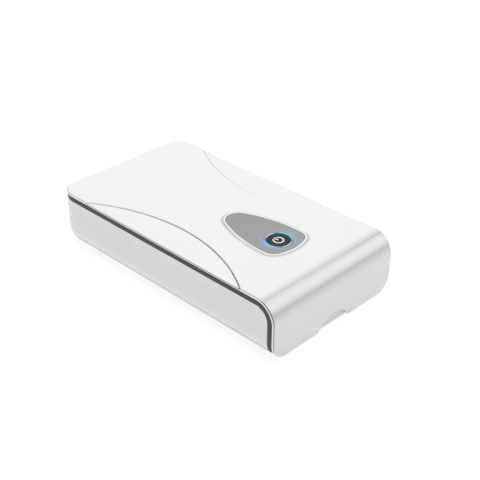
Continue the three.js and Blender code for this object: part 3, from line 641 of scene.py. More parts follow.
class Palette:
    """Every material of the box, by slot."""

    def __init__(self) -> None:
        """Build the materials."""
        metal = (0.8, 0.82, 0.84, 1.0)
        zinc = (0.62, 0.63, 0.65, 1.0)
        # Painted reflections: light and dark streaks round the cover's bend, by turn in degrees
        bend_painted_reflections = (
            (0.0, 1.0), (5.0, 0.95), (10.0, 0.82), (16.0, 0.71), (20.5, 0.64), (25.0, 0.79),
            (31.0, 0.93), (40.0, 1.0), (46.0, 0.95), (52.0, 0.86), (57.0, 0.74), (60.5, 0.68),
            (66.0, 0.77), (73.0, 0.87), (81.0, 0.95), (90.0, 0.98),
        )
        # Painted shade for the line on the cover's edge rounding, by height: dark round the bend,
        # lighter on the top and at the front's foot
        edge = (
            (0.8, 1.0), (5.0, 0.92), (12.0, 0.4), (27.0, 0.22), (35.0, 0.06), (42.0, 0.06),
            (43.3, 0.3), (43.7, 0.5), (44.0, 0.5),
        )
        # Painted shade and highlights on the case, by height: darker below about 7 mm, a lighter
        # strip above that, darker walls and a painted highlight at the top edge under the band
        roll = (
            (0.8, 0.6), (7.2, 0.6), (8.4, 0.86), (9.4, 1.0), (11.0, 0.97), (15.0, 0.887),
            (37.4, 0.887), (37.7, 1.0), (38.1, 1.0),
        )
        # Painted shade on the surround's flank, darkest just under the crest, and a painted
        # highlight on the crest, by height
        flank = (
            (44.0, 0.88), (44.03, 0.79), (44.1, 0.69), (44.25, 0.6), (44.5, 0.5), (44.66, 0.5),
            (44.71, 1.0), (44.75, 1.0),
        )
        # Painted shade: the step line is darkest at the front and fades lighter towards the rear
        step_line_painted_shade = ((-90.0, 0.2), (-5.0, 0.2), (40.0, 0.6), (76.0, 1.0))
        finishes = {
            Slot.COVER: PaintedLightFinish(
                "white_gloss", grey(0.87), 0.22, coat=0.5, relief=0.002, shades=bend_painted_reflections
            ),
            # The case's white takes that painted shade and light; the notch's backing keeps the
            # walls' level
            Slot.CASE: PaintedLightFinish(
                "white_satin", grey(0.97), 0.38, grain=9.0, relief=0.006, along=Along.HEIGHT,
                shades=roll, notch_half=18.0,
            ),
            Slot.FRAME: ChannelGrey("dark_grey", grey(0.075), 0.5, grain=10.0, level=0.25),
            Slot.PANEL: LitPanel("panel_grey", (0.3, 0.308, 0.308, 1.0), 0.42, metal=0.1),
            Slot.INLAY: PaintedLightFinish(
                "line_grey", grey(0.55), 0.4, along=Along.LENGTH, shades=step_line_painted_shade
            ),
            Slot.BUTTON: Finish("black_gloss", grey(0.012), 0.3, relief=0.002, level=0.2),
            Slot.RING: RingGlow("ring_glow", grey(0.2), 0.25),
            Slot.REFLECTOR: Finish("bright_metal", metal, 0.16, metal=1.0, grain=0.4, relief=0.02),
            Slot.GLASS: ClearGlass("clear_glass", (0.9, 0.95, 1.0, 1.0), 0.03, relief=0.0),
            Slot.BOARD: Board("board_green", (0.02, 0.12, 0.05, 1.0), 0.35),
            Slot.LAMP_BOARD: Board("board_white", grey(0.82), 0.4, track=grey(0.7)),
            Slot.STEEL: Finish("zinc_steel", zinc, 0.32, metal=1.0, grain=3.0),
            Slot.RUBBER: Finish("dark_rubber", grey(0.03), 0.75, grain=5.0, relief=0.02),
        }
        self.by_slot = {slot: finish.material() for slot, finish in finishes.items()}
        self.print_white = Finish("print_white", grey(0.95), 0.5).material()
        # A lighter copy of the cover's white: a painted highlight on the rim and the sheet's side
        # face
        self.painted_rim_highlight = Finish("rim_painted_highlight", grey(0.98), 0.22, coat=0.5, relief=0.002).material()
        self.edge_painted_shade = PaintedLightFinish(
            "edge_painted_shade", grey(0.87), 0.5, along=Along.HEIGHT, shades=edge
        ).material()
        self.surround = PaintedLightFinish(
            "surround_painted_shade_and_highlight", grey(0.97), 0.22, coat=0.5, along=Along.HEIGHT, shades=flank
        ).material()

    def dress(self, piece: Piece, slot: Slot) -> None:
        """Give a piece its slot's material."""
        piece.data.materials.clear()
        piece.data.materials.append(self.by_slot[slot])


# Mesh tools


def everything(bm: BMesh) -> list[Any]:
    """List a mesh's vertices, edges and faces."""
    return [*bm.verts, *bm.edges, *bm.faces]


def of_kind(parts: Iterable[Any], kind: type) -> list[Any]:
    """Pick the parts of one kind, in order."""
    return [part for part in parts if isinstance(part, kind)]


def corners(node: str) -> tuple[Vector, Vector]:
    """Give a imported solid's lowest and highest corner in millimetres."""
    low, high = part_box(node)
    return Vector(low) / MM, Vector(high) / MM


def mirrored(place: float) -> tuple[float, float]:
    """Give a place on both sides of the middle."""
    return -place, place


def shares(count: int) -> list[float]:
    """Divide 1 into equal steps, from 0 on."""
    return [i / count for i in range(count + 1)]


def linked(name: str, data: bpy.types.ID) -> Piece:
    """Make an object and link it to the scene.

    Args:
        name: The object's name.
        data: Its mesh, light or camera.

    Returns:
        The object, at the origin.
    """
    made = bpy.data.objects.new(name, data)
    bpy.context.scene.collection.objects.link(made)
    return made


def finished(name: str, bm: BMesh, scale: float = MM) -> Piece:
    """Turn a bmesh into an object at the origin.

    Args:
        name: The object's name.
        bm: The mesh, which is freed.
        scale: What brings it to metres.

    Returns:
        The object, linked to the scene.
    """
    bmesh.ops.recalc_face_normals(bm, faces=bm.faces)
    bmesh.ops.scale(bm, vec=(scale, scale, scale), verts=bm.verts)
    mesh = bpy.data.meshes.new(name)
    bm.to_mesh(mesh)
    bm.free()
    mesh.shade_smooth()
    mesh.set_sharp_from_angle(angle=SMOOTH)
    return linked(name, mesh)


def even_shading(piece: Piece) -> None:
    """Let large faces keep their own normals, so that flat parts stay flat.

    Args:
        piece: The piece to shade.
    """
    weighted = piece.modifiers.new("even_shading", "WEIGHTED_NORMAL")
    weighted.keep_sharp = True
    weighted.weight = LARGE_WEIGHT


def rounded(
    bm: BMesh, parts: Sequence[Any], reach: float, steps: int,
    affect: str = "VERTICES", **more: Any,
) -> None:
    """Round corners or edges.

    Args:
        bm: The mesh.
        parts: The corners or edges.
        reach: How far the rounding reaches.
        steps: Steps along it.
        affect: VERTICES or EDGES, after what is rounded.
        more: The bevel's further settings.
    """
    bmesh.ops.bevel(
        bm, geom=parts, offset=reach, offset_type="OFFSET", segments=steps, profile=0.5,
        affect=affect, material=-1, **more,
    )


def soften(bm: BMesh, reach: float) -> None:
    """Round the sharp edges of a mesh."""
    sharp = [e for e in bm.edges if len(e.link_faces) == 2 and e.calc_face_angle(0.0) > SHARP]
    rounded(bm, sharp, reach, steps=2, affect="EDGES", clamp_overlap=True, miter_outer="ARC")


def carve(piece: Piece, cutters: Iterable[Piece], joined: Iterable[Piece] = ()) -> None:
    """Join others to a piece and cut it with others, which are then removed.

    Args:
        piece: The piece to shape.
        cutters: What is taken out of it.
        joined: What is added to it first.
    """
    steps = [*((other, "UNION") for other in joined), *((other, "DIFFERENCE") for other in cutters)]
    for other, operation in steps:
        step = piece.modifiers.new("shape", "BOOLEAN")
        step.operation = operation
        step.solver = "EXACT"
        step.object = other
    graph = bpy.context.evaluated_depsgraph_get()
    mesh = bpy.data.meshes.new_from_object(piece.evaluated_get(graph))
    piece.modifiers.clear()
    piece.data = mesh
    mesh.set_sharp_from_angle(angle=SMOOTH)
    for other, _ in steps:
        bpy.data.objects.remove(other)


def revolved(
    name: str, points: Iterable[Point], centre: Point, axis: Point, steps: int
) -> Piece:
    """Turn a line of points round an axis.

    Args:
        name: The object's name.
        points: The line's points.
        centre: A point of the axis.
        axis: Its direction.
        steps: Steps round it.

    Returns:
        The turned piece.
    """
    bm = bmesh.new()
    chain = [bm.verts.new(point) for point in points]
    edges = [bm.edges.new(pair) for pair in zip(chain, chain[1:])]
    bmesh.ops.spin(
        bm, geom=[*chain, *edges], cent=centre, axis=axis, angle=2 * math.pi, steps=steps,
        use_merge=True,
    )
    bmesh.ops.remove_doubles(bm, verts=bm.verts, dist=MERGE)
    return finished(name, bm)


def turned(name: str, profile: Sequence[Point], centre: Point, steps: int = 96) -> Piece:
    """Turn a profile, of radii and heights, round an upright axis at a place x and y."""
    x, y = centre
    return revolved(name, [(x + r, y, h) for r, h in profile], (x, y, 0.0), UP, steps)


def block(name: str, low: Point, high: Point) -> Piece:
    """Make a box from its corners.

    Args:
        name: The object's name.
        low: Its lowest corner.
        high: Its highest corner.

    Returns:
        The box.
    """
    bm = bmesh.new()
    bmesh.ops.create_cube(bm, size=1.0)
    bmesh.ops.scale(bm, vec=Vector(high) - Vector(low), verts=bm.verts)
    bmesh.ops.translate(bm, vec=(Vector(low) + Vector(high)) / 2, verts=bm.verts)
    return finished(name, bm)


def rod(name: str, radius: float, start: Point, end: Point, steps: int = 64) -> Piece:
    """Make a round bar.

    Args:
        name: The object's name.
        radius: The bar's radius.
        start: Middle of one end.
        end: Middle of the other end.
        steps: Steps round the bar.

    Returns:
        The bar.
    """
    along = Vector(end) - Vector(start)
    turn = along.to_track_quat("Z", "Y").to_matrix().to_4x4()
    bm = bmesh.new()
    bmesh.ops.create_cone(
        bm, cap_ends=True, segments=steps, radius1=radius, radius2=radius, depth=along.length,
        matrix=Matrix.Translation((Vector(start) + Vector(end)) / 2) @ turn,
    )
    return finished(name, bm)


# Shapes of this box


@dataclass(frozen=True)
class BentSheet:
    """A sheet bent down at the front, with round corners and a rounded rim.

    Attributes:
        half: Half its width.
        front: Its front face along the box.
        top: Its top above the table.
        low: Its lower edge above the table.
        bend: Radius of the bend.
        corner: Radius of its lower front corners.
        rear: Where its flat part ends along the box.
        rear_corner: Radius of its rear corners, seen from above.
        corner_middle: Middle of those corners along the box.
        wall: Its thickness.
        rim: Reach of the rounding on its edges.
        roll: Radius of the roll at its rear, or 0.
        roll_turn: How far the roll goes round.
        bend_rows: Steps round the bend.
        front_rows: Steps round a front corner.
        corner_rows: Steps along a rear corner.
        roll_rows: Steps round the roll.
        rim_rows: Steps across the rounding on its edges.
    """

    half: float
    front: float
    top: float
    low: float
    bend: float
    corner: float
    rear: float
    rear_corner: float
    corner_middle: float
    wall: float
    rim: float
    roll: float = 0.0
    roll_turn: float = 0.0
    bend_rows: int = 32
    front_rows: int = 24
    corner_rows: int = 14
    roll_rows: int = 10
    rim_rows: int = 5

    @property
    def wall_end(self) -> float:
        """Length of the blank up to the bend."""
        return self.top - self.bend - self.low

    @property
    def bend_end(self) -> float:
        """Length of the blank up to the flat top."""
        return self.wall_end + self.bend * QUARTER

    @property
    def flat_end(self) -> float:
        """Length of the blank up to the roll."""
        return self.bend_end + self.rear - self.front - self.bend

    def rows(self) -> list[float]:
        """Give where the blank is divided.

        Returns:
            Places along its unrolled length, the last one at its end.
        """
        corner = self.rear - self.corner_middle
        rows = [
            self.wall_end + self.bend * QUARTER * i / self.bend_rows
            for i in range(self.bend_rows + 1)
        ]
        rows += [
            self.flat_end - corner * (1 - i / self.corner_rows) for i in range(self.corner_rows + 1)
        ]
        if self.roll:
            length = self.roll * self.roll_turn
            steps = range(1, self.roll_rows + 1)
            rows += [self.flat_end + length * i / self.roll_rows for i in steps]
        return rows

    def spot(self, point: Vector) -> Vector:
        """Move a point of the flat blank to its place on the bent sheet.

        Args:
            point: Across, along and above the blank.

        Returns:
            The point's place on the box.
        """
        x, s, h = point
        if s <= self.wall_end:
            return Vector((x, self.front - h, self.low + s))
        if s <= self.bend_end:
            turn = (s - self.wall_end) / self.bend
            reach = self.bend + h
            y = self.front + self.bend - reach * math.cos(turn)
            return Vector((x, y, self.top - self.bend + reach * math.sin(turn)))
        if s <= self.flat_end or not self.roll:
            return Vector((x, self.front + self.bend + s - self.bend_end, self.top + h))
        turn = (s - self.flat_end) / self.roll
        reach = self.roll + h
        z = self.top - self.roll + reach * math.cos(turn)
        return Vector((x, self.rear + reach * math.sin(turn), z))

    def half_at(self, s: float) -> float:
        """Give half the sheet's width.

        Args:
            s: A place along its unrolled length.

        Returns:
            Half the width there.
        """
        past = max(self.spot(Vector((0.0, s, 0.0))).y - self.corner_middle, 0.0)
        round_part = math.sqrt(max(self.rear_corner**2 - past**2, 0.0))
        return self.half - self.rear_corner + round_part

    def blank(self, bm: BMesh) -> list[Face]:
        """Lay out the flat blank, with its corners and rows.

        Args:
            bm: The mesh to draw in.

        Returns:
            The blank's faces.
        """
        rows = self.rows()
        spots = ((-self.half, 0.0), (self.half, 0.0), (self.half, rows[-1]), (-self.half, rows[-1]))
        ends = [bm.verts.new((x, s, 0.0)) for x, s in spots]
        bm.faces.new(ends)
        rounded(bm, ends[:2], self.corner, self.front_rows)
        for s in rows[:-1]:
            bmesh.ops.bisect_plane(
                bm, geom=everything(bm), plane_co=(0.0, s, 0.0), plane_no=(0.0, 1.0, 0.0),
                dist=NEARLY,
            )
        for vert in bm.verts:
            if vert.co.y >= rows[self.bend_rows + 1] - NEARLY:
                vert.co.x = math.copysign(self.half_at(vert.co.y), vert.co.x)
        bmesh.ops.recalc_face_normals(bm, faces=bm.faces)
        if next(iter(bm.faces)).normal.z < 0:
            bmesh.ops.reverse_faces(bm, faces=bm.faces)
        for vert in bm.verts:
            vert.co.z = -self.rim
        return list(bm.faces)

    @staticmethod
    def inset(
        bm: BMesh, inner: list[Face], width: float, height: float, index: int = 0
    ) -> None:
        """Add a strip round the inner part of the blank.

        Args:
            bm: The mesh.
            inner: The blank's inner faces.
            width: The strip's width.
            height: Height of everything inside it.
            index: The strip's material.
        """
        strip = bmesh.ops.inset_region(
            bm, faces=inner, thickness=width, depth=0.0, use_even_offset=True, use_boundary=True
        )["faces"]
        for face in strip:
            face.material_index = index
        for vert in {v for face in inner for v in face.verts}:
            vert.co.z = height

    def solid(self, name: str, painted: bool = False) -> Piece:
        """Make the sheet.

        Args:
            name: The object's name.
            painted: Whether its edge takes a painted shade line and a painted highlight.

        Returns:
            The sheet. If it is painted, its outer rounding takes the second material, a painted
            shade line, and the start of that rounding and the side face take the third, a painted
            highlight.
        """
        bm = bmesh.new()
        inner = self.blank(bm)
        turns = [QUARTER * i / self.rim_rows for i in range(self.rim_rows + 1)]
        for step, (low, high) in enumerate(zip(turns, turns[1:])):
            width = self.rim * (math.cos(low) - math.cos(high))
            # The rounding's first strip takes the painted highlight, the rest the painted shade
            # line
            index = (2 if step == 0 else 1) if painted else 0
            self.inset(bm, inner, width, self.rim * (math.sin(high) - 1), index)
        copied = bmesh.ops.duplicate(bm, geom=everything(bm))["geom"]
        for vert in of_kind(copied, Vert):
            vert.co.z = -self.wall - vert.co.z
        for face in of_kind(copied, Face):
            face.material_index = 0
        sides = bmesh.ops.bridge_loops(bm, edges=[e for e in bm.edges if e.is_boundary])["faces"]
        for face in sides:
            face.material_index = 2 if painted else 0
        for vert in bm.verts:
            vert.co = self.spot(vert.co)
        return finished(name, bm)


@dataclass(frozen=True)
class DropOutline:
    """The panel's outline: a blunt drop of arcs that meet without a corner.

    Attributes:
        front: Its front along the box.
        length: Its length.
        tip: Radius of its rear end.
        flank: Radius of its long sides.
        corner: Radius of its front corners.
        spread: How far those corners' middles lie from the box's middle.
        end: Radius of its front.
    """

    front: float = -73.1
    length: float = 62.2
    tip: float = 9.75
    flank: float = 98.7
    corner: float = 8.8
    spread: float = 9.5
    end: float = 35.8

    def turns(self) -> list[tuple[Vector, float, float, int]]:
        """Lay out the arcs in order.

        Returns:
            Each arc's middle, its first and last heading, and its steps.
        """
        tip = Vector((0.0, self.front + self.length - self.tip))
        end = Vector((0.0, self.front + self.end))
        reach = self.end - self.corner
        corner = Vector((self.spread, end.y - math.sqrt(reach**2 - self.spread**2)))
        p, q = self.flank - self.tip, self.flank - self.corner
        apart = (corner - tip).length
        along = (p * p - q * q + apart * apart) / (2 * apart)
        way = (corner - tip) / apart
        side = tip + way * along + Vector((way.y, -way.x)) * math.sqrt(p * p - along * along)
        first, second, third = (
            math.atan2(to.y - start.y, to.x - start.x)
            for start, to in ((end, corner), (side, corner), (side, tip))
        )
        far_side, far_corner = Vector((-side.x, side.y)), Vector((-corner.x, corner.y))
        return [
            (end, -QUARTER, first, 10),
            (corner, first, second, 12),
            (side, second, third, 14),
            (tip, third, math.pi - third, 24),
            (far_side, math.pi - third, math.pi - second, 14),
            (far_corner, math.pi - second, math.pi - first, 12),
            (end, math.pi - first, 3 * QUARTER, 10),
        ]

    def draw(self, bm: BMesh, offset: float, z: float) -> list[Edge]:
        """Draw the outline.

        Args:
            bm: The mesh to draw in.
            offset: How far outside the panel's edge it runs.
            z: Its height.

        Returns:
            The closed loop's edges.
        """
        known = set(bm.edges)
        start = last = bm.verts.new((0.0, self.front - offset, z))
        for centre, begin, finish, steps in self.turns():
            spun = bmesh.ops.spin(
                bm, geom=[last], cent=(*centre, z), axis=UP, angle=finish - begin, steps=steps,
                use_merge=False,
            )
            last = of_kind(spun["geom_last"], Vert)[0]
        bmesh.ops.weld_verts(bm, targetmap={last: start})
        return [e for e in bm.edges if e not in known]

    def solid(self, name: str, levels: Sequence[Point], closed: bool = False) -> Piece:
        """Skin outlines into one piece.

        Args:
            name: The object's name.
            levels: Offset and height of each outline.
            closed: Whether the last outline joins the first, which makes a ring.

        Returns:
            The piece.
        """
        bm = bmesh.new()
        edges = start = self.draw(bm, *levels[0])
        ring = first = list(bm.verts)
        for offset, z in [*levels[1:], *(levels[:1] if closed else ())]:
            grown = set(bmesh.ops.extrude_edge_only(bm, edges=edges)["geom"])
            edges = of_kind(grown, Edge)
            ring = [
                next(w for w in (e.other_vert(v) for e in v.link_edges) if w in grown) for v in ring
            ]
            guide = bmesh.new()
            self.draw(guide, offset, z)
            for vert, spot in zip(ring, guide.verts):
                vert.co = spot.co
            guide.free()
        if closed:
            bmesh.ops.weld_verts(bm, targetmap=dict(zip(ring, first)))
        else:
            for loop in (start, edges):
                bmesh.ops.contextual_create(bm, geom=loop)
        return finished(name, bm)


@dataclass(frozen=True)
class SideField:
    """The lower field on each side of the top, behind an arc that bulges to the middle.

    Attributes:
        half: Half the box's width.
        radius: The arc's radius.
        sagitta: How far it reaches in from the side.
        middle: Its middle along the box.
        top: The top's height.
        drop: How much lower the field lies.
        draft: How far the step's foot lies out from its brow.
        brow: Reach of the rounding on that brow.
        line: Width of the grey line at the foot, a dark strip painted as the step's shade.
        line_depth: Its thickness.
        line_end: How far inside the box's side it ends.
        groove: Depth of its groove.
        gap: Gap on each side of the line.
        rim: Reach of the rounding on the field's outer edge.
        rim_rows: Steps across that rounding.
        clear: How far the rounding's ends run past the faces they meet.
        short: How far before the field's ends the rounding stops.
        past: How far the arc's sweep runs on past the box's side, in radians.
        rows: Steps along the arc.
    """

    half: float = 60.0
    radius: float = 139.5
    sagitta: float = 25.0
    middle: float = -1.7
    top: float = COVER_TOP
    drop: float = 0.7
    draft: float = 0.2
    brow: float = 0.16
    line: float = 0.6
    line_depth: float = 0.3
    line_end: float = 0.35
    groove: float = 0.35
    gap: float = 0.05
    rim: float = 0.55
    rim_rows: int = 6
    clear: float = 0.02
    short: float = 0.9
    past: float = 0.04
    rows: int = 120

    @property
    def low(self) -> float:
        """Height of the field."""
        return self.top - self.drop

    @property
    def foot(self) -> float:
        """Radius of the step's foot."""
        return self.radius - self.draft

    @property
    def reach(self) -> float:
        """Half the field's length along the box's side."""
        return math.sqrt(self.foot**2 - (self.radius - self.sagitta) ** 2)

    def swept(
        self, name: str, side: int, profile: Sequence[Point], brows: Sequence[int] = (),
        inside: float = 0.0,
    ) -> Piece:
        """Sweep a profile along the arc.

        Args:
            name: The object's name.
            side: -1 for the left, 1 for the right.
            profile: Points of radius and height.
            brows: Which of those points are rounded.
            inside: How far inside the box's side it ends. 0 lets it run past the side.

        Returns:
            The swept piece.
        """
        centre = Vector((side * (self.half - self.sagitta + self.radius), self.middle, 0.0))
        turn = math.acos(1 - self.sagitta / self.radius) + self.past
        bm = bmesh.new()
        spots = [bm.verts.new((centre.x - side * r, centre.y, z)) for r, z in profile]
        bm.faces.new(spots)
        rounded(bm, [spots[i] for i in brows], self.brow, steps=4)
        bmesh.ops.rotate(bm, verts=bm.verts, cent=centre, matrix=Matrix.Rotation(-turn, 3, "Z"))
        bmesh.ops.spin(
            bm, geom=everything(bm), cent=centre, axis=UP, angle=2 * turn, steps=self.rows,
            use_merge=False,
        )
        if inside:
            cut = bmesh.ops.bisect_plane(
                bm, geom=everything(bm), plane_co=(side * (self.half - inside), 0.0, 0.0),
                plane_no=(side, 0.0, 0.0), clear_outer=True,
            )
            bmesh.ops.holes_fill(bm, edges=of_kind(cut["geom_cut"], Edge))
        return finished(name, bm)

    def cutters(self, side: int) -> list[Piece]:
        """Make what is taken off the cover on one side.

        Args:
            side: -1 for the left, 1 for the right.

        Returns:
            The rounding of the field's outer edge, the field, and its line's groove.
        """
        clear, beyond, lip = self.top + 1.0, self.radius - self.sagitta - 8.0, 0.1
        out, over = self.radius + 0.35, self.top + 0.25
        step = [
            (beyond, self.low), (self.foot, self.low), (self.radius, self.top - lip),
            (out, over), (out, clear), (beyond, clear),
        ]
        inner, floor = self.foot - self.line - 2 * self.gap, self.low - self.groove
        above = self.low + lip
        groove = [(inner, floor), (self.foot, floor), (self.foot, above), (inner, above)]
        return [
            self.edge_round(side),
            self.swept(f"field_{side}", side, step, brows=(2,)),
            self.swept(f"groove_{side}", side, groove),
        ]

    def edge_round(self, side: int) -> Piece:
        """Make the cutter that rounds the field's outer edge.

        Args:
            side: -1 for the left, 1 for the right.

        Returns:
            The cutter.
        """
        along = self.reach - self.short
        start, face = self.middle - along, side * (self.half + self.clear)
        above, beside = self.low + 0.3, face + side
        centre = Vector((face - side * self.rim, start, self.low + self.clear - self.rim))
        bm = bmesh.new()
        arc = bm.verts.new(centre + Vector((side * self.rim, 0.0, 0.0)))
        bmesh.ops.spin(
            bm, geom=[arc], cent=centre, axis=(0.0, -side, 0.0), angle=QUARTER,
            steps=self.rim_rows, use_merge=False,
        )
        outline = list(bm.verts)
        for x, z in ((centre.x, above), (beside, above), (beside, centre.z)):
            outline.append(bm.verts.new((x, start, z)))
        cap = bmesh.ops.contextual_create(
            bm, geom=[bm.edges.get(pair) or bm.edges.new(pair)
                      for pair in zip(outline, outline[1:] + outline[:1])]
        )["faces"]
        grown = bmesh.ops.extrude_face_region(bm, geom=cap, use_keep_orig=True)["geom"]
        moved = of_kind(grown, Vert)
        bmesh.ops.translate(bm, vec=(0.0, 2 * along, 0.0), verts=moved)
        return finished(f"edge_round_{side}", bm)

    def foot_line(self, name: str, side: int) -> Piece:
        """Make the grey line at the foot of the step, a dark strip that stands in for the step's
        shade.

        Args:
            name: The object's name.
            side: -1 for the left, 1 for the right.

        Returns:
            The line.
        """
        outer, under = self.foot - self.gap, self.low - self.line_depth
        inner = outer - self.line
        profile = [(inner, under), (outer, under), (outer, self.low), (inner, self.low)]
        return self.swept(name, side, profile, inside=self.line_end)


# Sub-assemblies


@dataclass
class Assembly:
    """What every sub-assembly shares.

    Attributes:
        palette: The materials.
    """

    palette: Palette

    def place(self, piece: Piece, body: Body, slot: Slot, *nodes: str) -> Piece:
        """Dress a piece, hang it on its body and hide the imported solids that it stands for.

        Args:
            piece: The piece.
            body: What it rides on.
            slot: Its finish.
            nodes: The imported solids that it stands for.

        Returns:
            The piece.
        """
        if not piece.data.materials:
            self.palette.dress(piece, slot)
        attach(piece, body.value)
        if nodes:
            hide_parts(*nodes)
        LOG.info("%s rides on %s, %s", piece.name, body.value, slot.value)
        return piece


@dataclass
class LidCover(Assembly):
    """The white cover: one sheet, bent down at the front and rolled at the rear.

    Attributes:
        sheet: The sheet it is made from.
        side: The lower fields of its top.
        outline: The panel's outline.
        pocket: Offset of the panel's pocket.
        pocket_floor: Its floor above the table.
        ring_y: The light ring's middle along the box.
        ring_hole: Radius of the hole for the ring.
        under: A height below the top, from where holes are cut upwards.
        notch_width: Width of the finger notch.
        notch_height: Its height.
        notch_flare: How far the notch widens, at depths from the front face.
        hinge_spread: Places of the hinges.
        hinge_half: Half the width of a hinge's slot.
        slot_low: Lower end of those slots.
        slot_top: Their top.
        slot_reach: How far they reach into the roll.
        foot_top: Height of the front wall's white foot.
        foot_half: Half its width.
        round_span: How far below and above a field's height its rounding counts.
        round_lean: How far to the side that rounding's faces look, as shares from 0 to 1.
        round_up: How far up they look at least.
    """

    sheet: BentSheet = BentSheet(
        half=60.0, front=-110.0, top=COVER_TOP, low=0.8, bend=16.0, corner=12.5, rear=HINGE_Y,
        rear_corner=18.0, corner_middle=92.0, wall=2.1, rim=0.55, roll=5.0, roll_turn=1.5 * QUARTER,
    )
    side: SideField = SideField()
    outline: DropOutline = DropOutline()
    pocket: float = 3.3
    pocket_floor: float = 42.9
    ring_y: float = RING_Y
    ring_hole: float = 10.5
    under: float = 40.0
    notch_width: float = 31.0
    notch_height: float = 9.1
    notch_flare: tuple[Span, ...] = (
        (0.35, -2.0), (0.35, 0.0), (0.28, 0.1), (0.1, 0.3), (0.0, 0.55), (0.0, 5.0)
    )
    hinge_spread: float = HINGE_SPREAD
    hinge_half: float = LEAF_HALF
    slot_low: float = 30.0
    slot_top: float = 38.5
    slot_reach: float = 8.0
    foot_top: float = 2.5
    foot_half: float = 50.0
    round_span: Span = (0.4, 0.01)
    round_lean: Span = (0.02, 0.97)
    round_up: float = 0.2

    def build(self) -> None:
        """Make the cover with its fields, its notch and its openings."""
        cover = self.sheet.solid("cover_sheet", painted=True)
        # The cover's white, the edge's painted shade line and the rim's painted highlight
        for material in (
            self.palette.by_slot[Slot.COVER], self.palette.edge_painted_shade, self.palette.painted_rim_highlight
        ):
            cover.data.materials.append(material)
        clear, rear = self.sheet.top + CUT_ROOM, self.sheet.rear
        hole = self.ring_hole
        bore = [(0.0, self.under), (hole, self.under), (hole, clear), (0.0, clear)]
        slots = [
            block("slot", (x - self.hinge_half, rear, self.slot_low),
                  (x + self.hinge_half, rear + self.slot_reach, self.slot_top))
            for x in mirrored(self.hinge_spread)
        ]
        carve(cover, [
            self.notch(),
            self.outline.solid("pocket", [(self.pocket, self.pocket_floor), (self.pocket, clear)]),
            turned("bore", bore, (0.0, self.ring_y)),
            *self.side.cutters(-1), *self.side.cutters(1), *slots,
        ])
        self.paint_edge(cover)
        even_shading(cover)
        self.place(cover, Body.LID, Slot.COVER, "lid_cover")
        # Grey lines at the steps' feet: dark strips painted as the steps' shade, in place of the
        # inlays
        for name, side in (("left", -1), ("right", 1)):
            line = self.side.foot_line(f"step_line_{name}", side)
            self.place(line, Body.LID, Slot.INLAY, f"side_inlay_{name}")

    def paint_edge(self, cover: Piece) -> None:
        """Carry the edge's painted shade line on along the fields, and keep the front foot and the
        roll white.

        Args:
            cover: The cover.
        """
        out, level = self.side.half - self.side.rim, self.side.low
        below, above = self.round_span
        least, most = self.round_lean
        for face in cover.data.polygons:
            centre, normal = face.center / MM, face.normal
            beside = abs(centre.x)
            leans = least < abs(normal.x) < most and normal.z > self.round_up
            if beside > out and level - below < centre.z < level + above and leans:
                face.material_index = 1
            elif centre.z < self.foot_top and beside < self.foot_half or centre.y > self.sheet.rear:
                face.material_index = 0

    def notch(self) -> Piece:
        """Make the half-round finger notch's cutter, flared at the outer face.

        Returns:
            The cutter.
        """
        radius = (self.notch_width**2 / 4 + self.notch_height**2) / (2 * self.notch_height)
        centre = self.sheet.low + self.notch_height - radius
        face, flare = self.sheet.front, self.notch_flare
        points = [
            (0.0, face + flare[0][1], centre),
            *((0.0, face + depth, centre + radius + out) for out, depth in flare),
            (0.0, face + flare[-1][1], centre),
        ]
        return revolved("notch", points, (0.0, 0.0, centre), (0.0, 1.0, 0.0), steps=160)


